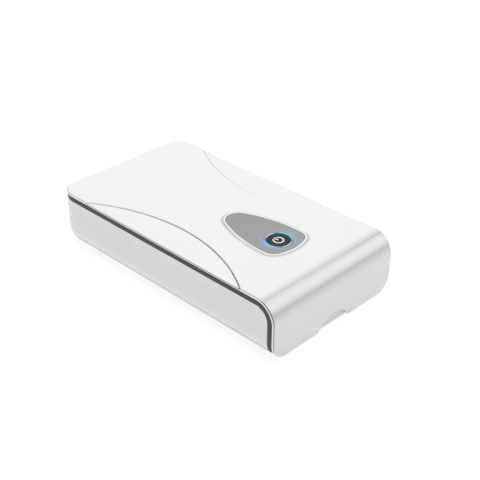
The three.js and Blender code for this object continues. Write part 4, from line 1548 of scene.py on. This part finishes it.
@dataclass
class LidFrame(Assembly):
    """The dark frame under the cover, which shows as a band round the closed box.

    Attributes:
        sheet: The sheet it is made from.
        opening: Half the width of its opening.
        opening_front: Where the opening starts along the box.
        opening_rear: Where it ends.
        ledge: How far the reflector's rebate reaches past the opening.
        rebate_top: Top of the rebate.
        cut_low: How far below that top its cutters start.
        hinge_z: The hinge's axis above the table.
        hinge_spread: Places of the hinges.
        leaf_half: Half the width of a leaf with its gap.
        lug: Width of a lug.
        barrel: A lug's radius.
        eye_room: Radius of the room for a leaf's eye.
        bore: Radius of the pin's bore.
        bore_past: How far the bore runs past the lugs.
        magnet_spread: Places of the magnets.
        magnet_z: Their height.
        magnet_room: Radius of their pockets.
        magnet_wall: Wall left in front of those pockets.
        magnet_end: Where the pockets end behind the frame's front.
        pad_half: Half the width of the room for the case's pad.
        pad_top: Its top.
        pad_reach: How far behind the frame's front it reaches.
        screw_spread: The lid screws' places across the box.
        screw_rows: Their places along it.
        screw_room: Radius of their holes.
        screw_reach: How far above the rebate the holes end.
    """

    sheet: BentSheet = BentSheet(
        half=59.7, front=-107.65, top=41.65, low=1.1, bend=13.65, corner=12.2, rear=HINGE_Y,
        rear_corner=17.7, corner_middle=92.0, wall=3.3, rim=0.25,
    )
    opening: float = 46.0
    opening_front: float = -88.0
    opening_rear: float = 87.0
    ledge: float = 5.25
    rebate_top: float = 40.0
    cut_low: float = 6.0
    hinge_z: float = 39.0
    hinge_spread: float = HINGE_SPREAD
    leaf_half: float = LEAF_HALF
    lug: float = 6.0
    barrel: float = 2.6
    eye_room: float = 2.9
    bore: float = 1.3
    bore_past: float = 1.0
    magnet_spread: float = 38.0
    magnet_z: float = 21.0
    magnet_room: float = 4.3
    magnet_wall: float = 0.5
    magnet_end: float = 12.0
    pad_half: float = 21.8
    pad_top: float = 13.2
    pad_reach: float = 8.0
    screw_spread: float = 48.625
    screw_rows: Span = (-80.0, 79.0)
    screw_room: float = 1.1
    screw_reach: float = 1.35

    def build(self) -> None:
        """Make the frame with its opening, its lugs and its pockets."""
        band = self.sheet.solid("band_sheet")
        hinges, half = mirrored(self.hinge_spread), self.lug / 2
        carve(band, [self.across("eye", x, self.leaf_half, self.eye_room) for x in hinges])
        lugs = [
            self.across("lug", x + away, half, self.barrel)
            for x in hinges for away in mirrored(self.leaf_half + half)
        ]
        carve(band, self.cutters(), joined=lugs)
        even_shading(band)
        self.place(band, Body.LID, Slot.FRAME, "lid_frame")

    def cutters(self) -> list[Piece]:
        """Make what is taken out of the frame.

        Returns:
            The cutters of its opening, its bores and its pockets.
        """
        low, clear = self.rebate_top - self.cut_low, self.sheet.top + CUT_ROOM
        face = self.sheet.front
        reach, front, rear = self.opening + self.ledge, self.opening_front, self.opening_rear
        pin_reach = self.leaf_half + self.lug + self.bore_past
        screw_end = self.rebate_top + self.screw_reach
        start, end, z = face + self.magnet_wall, face + self.magnet_end, self.magnet_z
        return [
            *(self.across("bore", x, pin_reach, self.bore) for x in mirrored(self.hinge_spread)),
            block("opening", (-self.opening, front, low), (self.opening, rear, clear)),
            block("rebate", (-reach, front - self.ledge, low),
                  (reach, rear + self.ledge, self.rebate_top)),
            block("pad_room", (-self.pad_half, face - 1.0, 0.0),
                  (self.pad_half, face + self.pad_reach, self.pad_top)),
            *(rod("magnet_room", self.magnet_room, (x, start, z), (x, end, z))
              for x in mirrored(self.magnet_spread)),
            *(rod("screw_room", self.screw_room, (x, y, low), (x, y, screw_end), steps=24)
              for y in self.screw_rows for x in mirrored(self.screw_spread)),
        ]

    def across(self, name: str, x: float, half: float, radius: float) -> Piece:
        """Make a round bar on the hinge's axis, by its middle and half its length."""
        y, z = self.sheet.rear, self.hinge_z
        return rod(name, radius, (x - half, y, z), (x + half, y, z), steps=48)


@dataclass
class ButtonPanel(Assembly):
    """The drop-shaped panel, its surround, the light ring and the button.

    Attributes:
        outline: The panel's outline.
        middle: The button's axis, x and y.
        top: The panel's top above the table.
        under: Its underside.
        crest: The surround's crest above the table.
        cover_top: The cover's top.
        surround: Reach of the surround outside the panel.
        brow: Where its flank ends.
        body: Reach of the surround's part in the pocket.
        sunk: How far its flank's foot lies under the cover's top.
        lip: How far its flank's end lies under the crest, less that.
        cap: Radius of the button.
        dish: Depth of its dish.
        skirt: Height from its top to its skirt's lower edge.
        wall: Thickness of the skirt, and depth of the hollow inside it.
        stem: Radius of its stem.
        stem_end: The stem's lower end above the table.
        ring_inner: Inner radius of the light ring.
        ring_outer: Its outer radius.
        ring_under: Its underside.
        gap: Gap round the ring.
        ease: Width of the soft edge of the panel's hole.
        hole_low: A height below the panel, from where its hole is cut upwards.
        sign: Outer radius of the switch's sign.
        stroke: Width of the sign's lines.
        sign_gap: Half the sign's opening, in degrees.
        bar: Ends of its bar along the box, from the middle.
        print_over: How far the print stands over the dish.
        print_depth: The print's thickness.
        rows: Steps round the ring, the button and the hole.
    """

    outline: DropOutline = DropOutline()
    middle: Span = (0.0, RING_Y)
    top: float = 44.55
    under: float = 43.15
    crest: float = 44.75
    cover_top: float = COVER_TOP
    surround: float = 4.0
    brow: float = 1.2
    body: float = 3.2
    sunk: float = 0.015
    lip: float = 0.055
    cap: float = 8.15
    dish: float = 0.3
    skirt: float = 1.5
    wall: float = 0.4
    stem: float = 1.6
    stem_end: float = 42.67
    ring_inner: float = RING_INNER
    ring_outer: float = RING_OUTER
    ring_under: float = 41.05
    gap: float = 0.1
    ease: float = 0.15
    hole_low: float = 40.0
    sign: float = 4.0
    stroke: float = 1.0
    sign_gap: float = 25.0
    bar: Span = (0.35, 4.2)
    print_over: float = 0.03
    print_depth: float = 0.06
    rows: int = 128

    def build(self) -> None:
        """Make the panel's pieces."""
        self.make_surround()
        self.make_plate()
        self.make_ring()
        self.make_button()
        self.make_sign()

    def make_surround(self) -> None:
        """Make the white surround, which sweeps up from the cover to a thin crest, with painted
        shade on its flank and a painted highlight on the crest.
        """
        foot, rise = self.cover_top - self.sunk, self.crest - self.cover_top - self.lip
        sweep = [
            (self.surround + (self.brow - self.surround) * share, foot + rise * share**2)
            for share in shares(9)
        ]
        crown = [(1.05, -0.02), (0.9, 0.0), (0.35, 0.0), (0.2, -0.02), (0.1, -0.09), (0.08, -0.35)]
        crest = [(offset, self.crest + dz) for offset, dz in crown]
        low, inside = self.under + 0.05, crown[-1][0]
        base = [(inside, low), (self.body, low), (self.body, foot - 0.1)]
        piece = self.outline.solid("panel_surround", [*sweep, *crest, *base], closed=True)
        piece.data.materials.append(self.palette.surround)
        self.place(piece, Body.LID, Slot.COVER, "panel_bezel")

    def make_plate(self) -> None:
        """Make the grey panel, with a soft edge and the ring's hole."""
        edge = [(0.0, -0.25), (-0.04, -0.13), (-0.12, -0.05), (-0.25, -0.01), (-0.45, 0.0)]
        levels = [(0.0, self.under), *((offset, self.top + dz) for offset, dz in edge)]
        plate = self.outline.solid("control_plate", levels)
        self.palette.dress(plate, Slot.PANEL)
        reach, clear, low = self.ring_outer + self.gap, self.top + 1.0, self.hole_low
        hole = turned("hole", [
            (0.0, low), (reach, low), (reach, self.top - self.ease), (reach + self.ease, self.top),
            (reach + self.ease, clear), (0.0, clear),
        ], self.middle, self.rows)
        carve(plate, [hole])
        even_shading(plate)
        self.place(plate, Body.LID, Slot.PANEL, "control_panel")

    def make_ring(self) -> None:
        """Make the ring that the light shines through."""
        edge = [(0.0, -0.25), (0.1, -0.1), (0.3, -0.02), (0.6, 0.0)]
        outer = [(self.ring_outer - dr, self.top + dz) for dr, dz in edge]
        inner = [(self.ring_inner + dr, self.top + dz) for dr, dz in reversed(edge)]
        ends = [(self.ring_inner, self.ring_under), (self.ring_outer, self.ring_under)]
        ring = turned("glow_ring", [*ends, *outer, *inner, ends[0]], self.middle, self.rows)
        self.place(ring, Body.LID, Slot.RING, "light_ring")

    def face(self, share: float) -> float:
        """Give the dished button's height at a share of the dish's radius."""
        return self.top - self.dish * (1 - share**2)

    def make_button(self) -> None:
        """Make the dished button with its skirt and stem."""
        rim, under = self.cap - self.wall, self.top - self.skirt
        dish = [(rim * (1 - share), self.face(1 - share)) for share in shares(10)]
        brow = ((0.0, 0.3), (0.08, 0.12), (0.22, 0.03))
        edge = [(self.cap - dr, self.top - dz) for dr, dz in brow]
        inside, end = under + self.wall, self.stem_end
        below = [
            (0.0, end), (self.stem, end), (self.stem, inside), (rim, inside), (rim, under),
            (self.cap, under),
        ]
        cap = turned("power_cap", [*below, *edge, *dish], self.middle, self.rows)
        self.place(cap, Body.BUTTON, Slot.BUTTON, "power_button")

    def make_sign(self) -> None:
        """Make the printed sign of the switch: an open ring and a bar."""
        x, y = self.middle
        gap = math.radians(self.sign_gap)
        half = self.stroke / 2
        bm = bmesh.new()
        ends = [bm.verts.new((x, y + r, 0.0)) for r in (self.sign - self.stroke, self.sign)]
        edge = bm.edges.new(ends)
        bmesh.ops.rotate(bm, verts=ends, cent=(x, y, 0.0), matrix=Matrix.Rotation(gap, 3, "Z"))
        bmesh.ops.spin(
            bm, geom=[*ends, edge], cent=(x, y, 0.0), axis=UP, angle=2 * (math.pi - gap), steps=72,
            use_merge=False,
        )
        low, high = self.bar
        spots = ((-half, low), (half, low), (half, high), (-half, high))
        bar = bm.faces.new([bm.verts.new((x + dx, y + dy, 0.0)) for dx, dy in spots])
        bmesh.ops.subdivide_edges(
            bm, edges=[bar.edges[1], bar.edges[3]], cuts=8, use_grid_fill=True
        )
        for vert in bm.verts:
            share = math.hypot(vert.co.x - x, vert.co.y - y) / (self.cap - self.wall)
            vert.co.z = self.face(share) + self.print_over
        bmesh.ops.recalc_face_normals(bm, faces=bm.faces)
        grown = bmesh.ops.extrude_face_region(bm, geom=list(bm.faces))["geom"]
        for vert in of_kind(grown, Vert):
            vert.co.z -= self.print_depth
        sign = finished("power_sign", bm)
        sign.data.materials.append(self.palette.print_white)
        self.place(sign, Body.BUTTON, Slot.COVER)


@dataclass(frozen=True)
class Screw:
    """A pan-head screw with a cross recess.

    Attributes:
        head: The head's radius.
        head_height: Its height.
        shaft: The shaft's radius.
        length: Its length.
        head_up: Whether the head is on top.
        tip: Length of the shaft's taper.
        recess: Half the length and width of each slot of the recess, as shares of the head.
        recess_depth: Its depth.
    """

    head: float
    head_height: float
    shaft: float
    length: float
    head_up: bool = False
    tip: float = 0.4
    recess: Span = (0.55, 0.12)
    recess_depth: float = 0.35

    def solid(self, name: str, centre: Point, face: float) -> Piece:
        """Make the screw.

        Args:
            name: The object's name.
            centre: Its axis, x and y.
            face: Height of the head's face.

        Returns:
            The screw.
        """
        way = -1.0 if self.head_up else 1.0
        end = self.head_height + self.length
        crown = [(0.0, 0.0), (0.6, 0.0), (0.85, 0.08), (0.96, 0.22), (1.0, 0.45), (1.0, 1.0)]
        outline = [(share * self.head, rise * self.head_height) for share, rise in crown]
        outline += [
            (self.shaft, self.head_height), (self.shaft, end - self.tip), (self.shaft * 0.4, end),
            (0.0, end),
        ]
        made = turned(name, [(r, face + way * h) for r, h in outline], centre, steps=32)
        x, y = centre
        long, thin = (share * self.head for share in self.recess)
        low, high = sorted((face - way * 0.2, face + way * self.recess_depth))
        carve(made, [
            block("recess", (x - a, y - b, low), (x + a, y + b, high))
            for a, b in ((long, thin), (thin, long))
        ])
        return made


@dataclass
class Fasteners(Assembly):
    """The screws, the feet and the hinge pins.

    Attributes:
        screws: Body and sizes of each kind of screw, by the start of its nodes' names.
        foot: A foot's radius.
        foot_height: Its height.
        pin: A hinge pin's radius.
        pin_edge: Reach of the rounding on its ends.
    """

    screws: Mapping[str, tuple[Body, Screw]] = field(default_factory=lambda: {
        "bottom_screw": (Body.CASE, Screw(2.5, 1.4, 1.2, 5.0)),
        "hinge_screw": (Body.CASE, Screw(1.9, 0.5, 0.9, 4.0, head_up=True)),
        "lid_screw": (Body.LID, Screw(1.8, 0.6, 0.8, 2.1)),
    })
    foot: float = 6.0
    foot_height: float = 1.5
    pin: float = 1.0
    pin_edge: float = 0.2

    def build(self) -> None:
        """Make every screw, foot and pin."""
        for node in sorted(frame["nodes"]):
            low, high = corners(node)
            middle = (low + high) / 2
            for start, (body, screw) in self.screws.items():
                if node.startswith(start):
                    face = high.z if screw.head_up else low.z
                    made = screw.solid(f"{node}_cross", middle.xy, face)
                    self.place(made, body, Slot.STEEL, node)
            if node.startswith("foot_"):
                self.place(self.pad(f"{node}_pad", middle.xy), Body.CASE, Slot.RUBBER, node)
            if node.startswith("hinge_pin"):
                self.place(self.rounded_pin(node, low, high), Body.CASE, Slot.STEEL, node)

    def pad(self, name: str, centre: Point) -> Piece:
        """Make a rubber foot with a round edge and a shallow dish in its face.

        Args:
            name: The object's name.
            centre: Its middle, x and y.

        Returns:
            The foot.
        """
        r, h = self.foot, self.foot_height
        profile = [
            (0.0, 0.12), (0.55 * r, 0.12), (0.6 * r, 0.0), (r - 0.5, 0.0), (r - 0.2, 0.06),
            (r - 0.06, 0.2), (r, 0.5), (r, h), (0.0, h),
        ]
        return turned(name, profile, centre, steps=64)

    def rounded_pin(self, node: str, low: Vector, high: Vector) -> Piece:
        """Make a hinge pin with rounded ends.

        Args:
            node: The solid it stands for.
            low: The solid's lowest corner.
            high: Its highest corner.

        Returns:
            The pin.
        """
        bm = bmesh.new()
        bmesh.ops.create_cone(
            bm, cap_ends=True, segments=40, radius1=self.pin, radius2=self.pin,
            depth=high.x - low.x,
            matrix=Matrix.Translation((low + high) / 2) @ Matrix.Rotation(QUARTER, 4, "Y"),
        )
        soften(bm, self.pin_edge)
        return finished(f"{node}_round", bm)


@dataclass
class LampRows(Assembly):
    """The lenses on the rows of ultraviolet lamps.

    Attributes:
        lens: A lens's radius.
        rise: Its height.
        sunk: How much of that height is inside its lamp.
        count: Lamps in a row.
        lid_reach: How far the last lamp lies from the middle of a row in the lid.
        case_reach: The same for the row in the case.
        case_middle: Middle of the row in the case, along the box.
    """

    lens: float = 1.25
    rise: float = 0.3
    sunk: float = 0.02
    count: int = 6
    lid_reach: float = 65.0
    case_reach: float = 53.0
    case_middle: float = -2.95

    def build(self) -> None:
        """Make the lenses of the three rows."""
        lid, case = (Body.LID, 0.0, self.lid_reach), (Body.CASE, self.case_middle, self.case_reach)
        for name, node, (body, middle, reach) in (
            ("left", "lid_lamp_board_left", lid), ("right", "lid_lamp_board_right", lid),
            ("lower", "lower_lamp_board", case),
        ):
            low, high = corners(node)
            face, way = (low.z, -1.0) if body is Body.LID else (high.z, 1.0)
            start = Vector(((low.x + high.x) / 2, middle - reach, face))
            self.place(self.row(f"lamp_lenses_{name}", start, reach, way), body, Slot.GLASS)

    def row(self, name: str, start: Vector, reach: float, way: float) -> Piece:
        """Make one row of domed lenses.

        Args:
            name: The object's name.
            start: Middle of the first lamp's face.
            reach: Half the distance from the first lamp to the last.
            way: 1 for upwards, -1 for downwards.

        Returns:
            The lenses.
        """
        bm = bmesh.new()
        bmesh.ops.create_uvsphere(bm, u_segments=24, v_segments=16, radius=self.lens)
        bmesh.ops.bisect_plane(
            bm, geom=everything(bm), plane_co=(0.0, 0.0, 0.0), plane_no=(0.0, 0.0, -way),
            clear_outer=True,
        )
        bmesh.ops.scale(bm, vec=(1.0, 1.0, self.rise / self.lens), verts=bm.verts)
        bmesh.ops.holes_fill(bm, edges=[e for e in bm.edges if e.is_boundary])
        bmesh.ops.translate(bm, vec=start - way * self.sunk * UP, verts=bm.verts)
        bmesh.ops.spin(
            bm, geom=everything(bm), axis=UP, angle=0.0, steps=self.count - 1,
            dvec=(0.0, 2 * reach / (self.count - 1), 0.0), use_duplicate=True,
        )
        return finished(name, bm)


@dataclass
class ChargeSocket(Assembly):
    """The charging socket at the rear: a steel shell round a dark tongue.

    Attributes:
        shell: Thickness of the shell.
        tongue: Thickness of the tongue.
        tongue_share: The tongue's width as a share of the mouth.
        tongue_ends: How far inside the shell's ends it starts and stops.
        roundness: Radius of the shell's sides as a share of its height.
    """

    shell: float = 0.4
    tongue: float = 0.7
    tongue_share: float = 0.7
    tongue_ends: Span = (0.9, 0.8)
    roundness: float = 0.49

    def build(self) -> None:
        """Make the shell and the tongue."""
        low, high = corners("power_socket")
        shell = self.flat_tube("socket_shell", low, high, 0.0)
        further = Vector((0.0, 1.0, 0.0))
        carve(shell, [self.flat_tube("mouth", low + further, high + further, self.shell)])
        self.place(shell, Body.CASE, Slot.STEEL, "power_socket")
        middle = (low + high) / 2
        half, thick = (high.x - low.x) / 2 * self.tongue_share, self.tongue / 2
        inner, outer = self.tongue_ends
        tongue = block(
            "socket_tongue", (middle.x - half, low.y + inner, middle.z - thick),
            (middle.x + half, high.y - outer, middle.z + thick),
        )
        self.place(tongue, Body.CASE, Slot.BUTTON)

    def flat_tube(self, name: str, low: Vector, high: Vector, inset: float) -> Piece:
        """Make a bar along the box with fully round sides.

        Args:
            name: The object's name.
            low: Its lowest corner.
            high: Its highest corner.
            inset: How far it is drawn in across.

        Returns:
            The bar.
        """
        size = high - low - 2 * inset * Vector((1.0, 0.0, 1.0))
        bm = bmesh.new()
        bmesh.ops.create_cube(bm, size=1.0)
        bmesh.ops.scale(bm, vec=size, verts=bm.verts)
        long_edges = [e for e in bm.edges if abs(e.verts[0].co.y - e.verts[1].co.y) > MERGE]
        rounded(bm, long_edges, size.z * self.roundness, steps=8, affect="EDGES")
        bmesh.ops.translate(bm, vec=(low + high) / 2, verts=bm.verts)
        return finished(name, bm)


@dataclass
class CarriedOver(Assembly):
    """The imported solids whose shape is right: copied with soft edges, or only dressed.

    Attributes:
        softened: Reach of the rounding for each solid that is copied.
        merged: Distance within which a copy's points are one, in millimetres.
        flat: Faces that turn less than this many degrees are one.
    """

    softened: Mapping[str, float] = field(default_factory=lambda: {
        "case_shell": 0.35, "bottom_plate": 0.25, "chamber_tray": 0.0, "lid_reflector": 0.0,
        "hinge_leaf_left": 0.12, "hinge_leaf_right": 0.12,
    })
    merged: float = 1e-3
    flat: float = 0.6

    def build(self) -> None:
        """Refine what shows and dress the rest."""
        record = frame["record"]
        slots = {item["node"]: Slot(item["material_slot"]) for item in record["subparts"]}
        bodies = {
            node: Body(body)
            for body, nodes in record["behaviour"]["bodies"].items() for node in nodes
        }
        for node, width in self.softened.items():
            self.place(self.refined(node, width), bodies[node], slots[node], node)
        for node, solid in frame["nodes"].items():
            self.palette.dress(solid, slots[node])
            LOG.info("%s keeps its solid, %s", node, slots[node].value)

    def refined(self, node: str, width: float) -> Piece:
        """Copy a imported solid, with rounded edges and smooth curves.

        Args:
            node: The solid to copy.
            width: Reach of the rounding on its edges.

        Returns:
            The new piece.
        """
        bm = bmesh.new()
        bm.from_mesh(frame["nodes"][node].data)
        bmesh.ops.scale(bm, vec=(1 / MM, 1 / MM, 1 / MM), verts=bm.verts)
        bmesh.ops.remove_doubles(bm, verts=bm.verts, dist=self.merged)
        bmesh.ops.dissolve_limit(
            bm, angle_limit=math.radians(self.flat), verts=bm.verts, edges=bm.edges,
            use_dissolve_boundaries=False,
        )
        if width:
            soften(bm, width)
        made = finished(f"{node}_soft", bm)
        even_shading(made)
        return made


# The studio


@dataclass(frozen=True)
class Studio:
    """The floor, the lights, the sky and the camera.

    Attributes:
        fill: Strength of the sky on the object.
        floor_half: Half the floor's side, in metres.
        floor_grey: How light the floor is to the object.
        floor_white: How much of the floor's white is its own, to the camera.
        floor_light: Strength of that white.
        lights: Name, place, side in metres and power in watts of each soft light.
        camera_place: Where the camera stands, in metres.
        camera_aim: What it looks at.
        camera_roll: How far it is rolled, in degrees.
        lens: Its focal length.
        sensor: The width of its picture plane.
    """

    fill: float = 0.58
    floor_half: float = 6.0
    floor_grey: float = 0.9
    floor_white: float = 0.78
    floor_light: float = 1.1
    lights: tuple[tuple[str, Point, float, float], ...] = (
        ("overhead", (0.1, 0.1, 0.9), 1.2, 5.0),
        ("front_right", (0.7, -0.8, 0.55), 0.6, 0.5),
        ("left", (-0.9, -0.3, 0.5), 0.6, 0.4),
    )
    camera_place: Point = (-0.435254, -0.444523, 0.403358)
    camera_aim: Point = (0.009822, -0.012228, 0.02)
    camera_roll: float = 0.311
    lens: float = 75.22
    sensor: float = 36.0

    def build(self) -> None:
        """Set the studio up."""
        self.lay_floor()
        self.hang_sky()
        for name, place, size, power in self.lights:
            self.hang_light(name, Vector(place), size, power)
        self.set_camera()
        bpy.context.scene.view_settings.view_transform = "Standard"

    @staticmethod
    def seen(graph: Graph) -> Value:
        """Tell what the camera sees from what only lights the box.

        Args:
            graph: The nodes of the floor or the sky.

        Returns:
            1 for what is seen straight, in gloss or through glass, and 0 for the rest.
        """
        kinds = ("Is Camera Ray", "Is Glossy Ray", "Is Transmission Ray")
        rays = [graph.add("LightPath", output=kind) for kind in kinds]
        return rays[0].larger(rays[1]).larger(rays[2])

    def lay_floor(self) -> None:
        """Lay the plain pale floor, which keeps the box's shadow."""
        bm = bmesh.new()
        bmesh.ops.create_grid(bm, x_segments=1, y_segments=1, size=self.floor_half)
        floor = finished("floor", bm, scale=1.0)
        made = bpy.data.materials.new("floor_white")
        graph = Graph.of(made)
        white = {"Color": grey(1.0), "Strength": self.floor_light}
        matte = graph.add("BsdfDiffuse", None, {"Color": grey(self.floor_grey)})
        own = graph.add("Emission", None, white)
        factor = self.seen(graph) * self.floor_white
        both = graph.add("MixShader", None, {0: factor, 1: matte, 2: own})
        graph.add("OutputMaterial", None, {"Surface": both})
        floor.data.materials.append(made)

    def hang_sky(self) -> None:
        """Hang an even sky: white to the camera and in gloss, softer on the object."""
        world = bpy.data.worlds.new("sky")
        graph = Graph.of(world)
        strength = self.fill + self.seen(graph) * (1.0 - self.fill)
        sky = graph.add("Background", None, {"Color": grey(1.0), "Strength": strength})
        graph.add("OutputWorld", None, {"Surface": sky})
        bpy.context.scene.world = world

    @staticmethod
    def hang_light(name: str, place: Vector, size: float, power: float) -> None:
        """Hang a square soft light that points at the box.

        Args:
            name: The light's name.
            place: Where it hangs.
            size: Its side.
            power: Its power in watts.
        """
        data = bpy.data.lights.new(name, "AREA")
        data.size = size
        data.energy = power
        light = linked(name, data)
        light.location = place
        light.rotation_euler = place.to_track_quat("Z", "Y").to_euler()

    def set_camera(self) -> None:
        """Set the camera at the photograph's viewing angle."""
        data = bpy.data.cameras.new("camera")
        data.lens = self.lens
        data.sensor_width = self.sensor
        camera = linked("camera", data)
        away = Vector(self.camera_place) - Vector(self.camera_aim)
        roll = Quaternion(UP, math.radians(self.camera_roll))
        camera.location = self.camera_place
        camera.rotation_euler = (away.to_track_quat("Z", "Y") @ roll).to_euler()
        bpy.context.scene.camera = camera


def main() -> None:
    """Build the studio and the box's sub-assemblies in order."""
    logging.basicConfig(level=logging.INFO, format="%(message)s")
    Studio().build()
    palette = Palette()
    for assembly in (
        CarriedOver, LidCover, LidFrame, ButtonPanel, Fasteners, LampRows, ChargeSocket
    ):
        LOG.info("Building %s", assembly.__name__)
        assembly(palette).build()


if __name__ == "__main__":
    main()
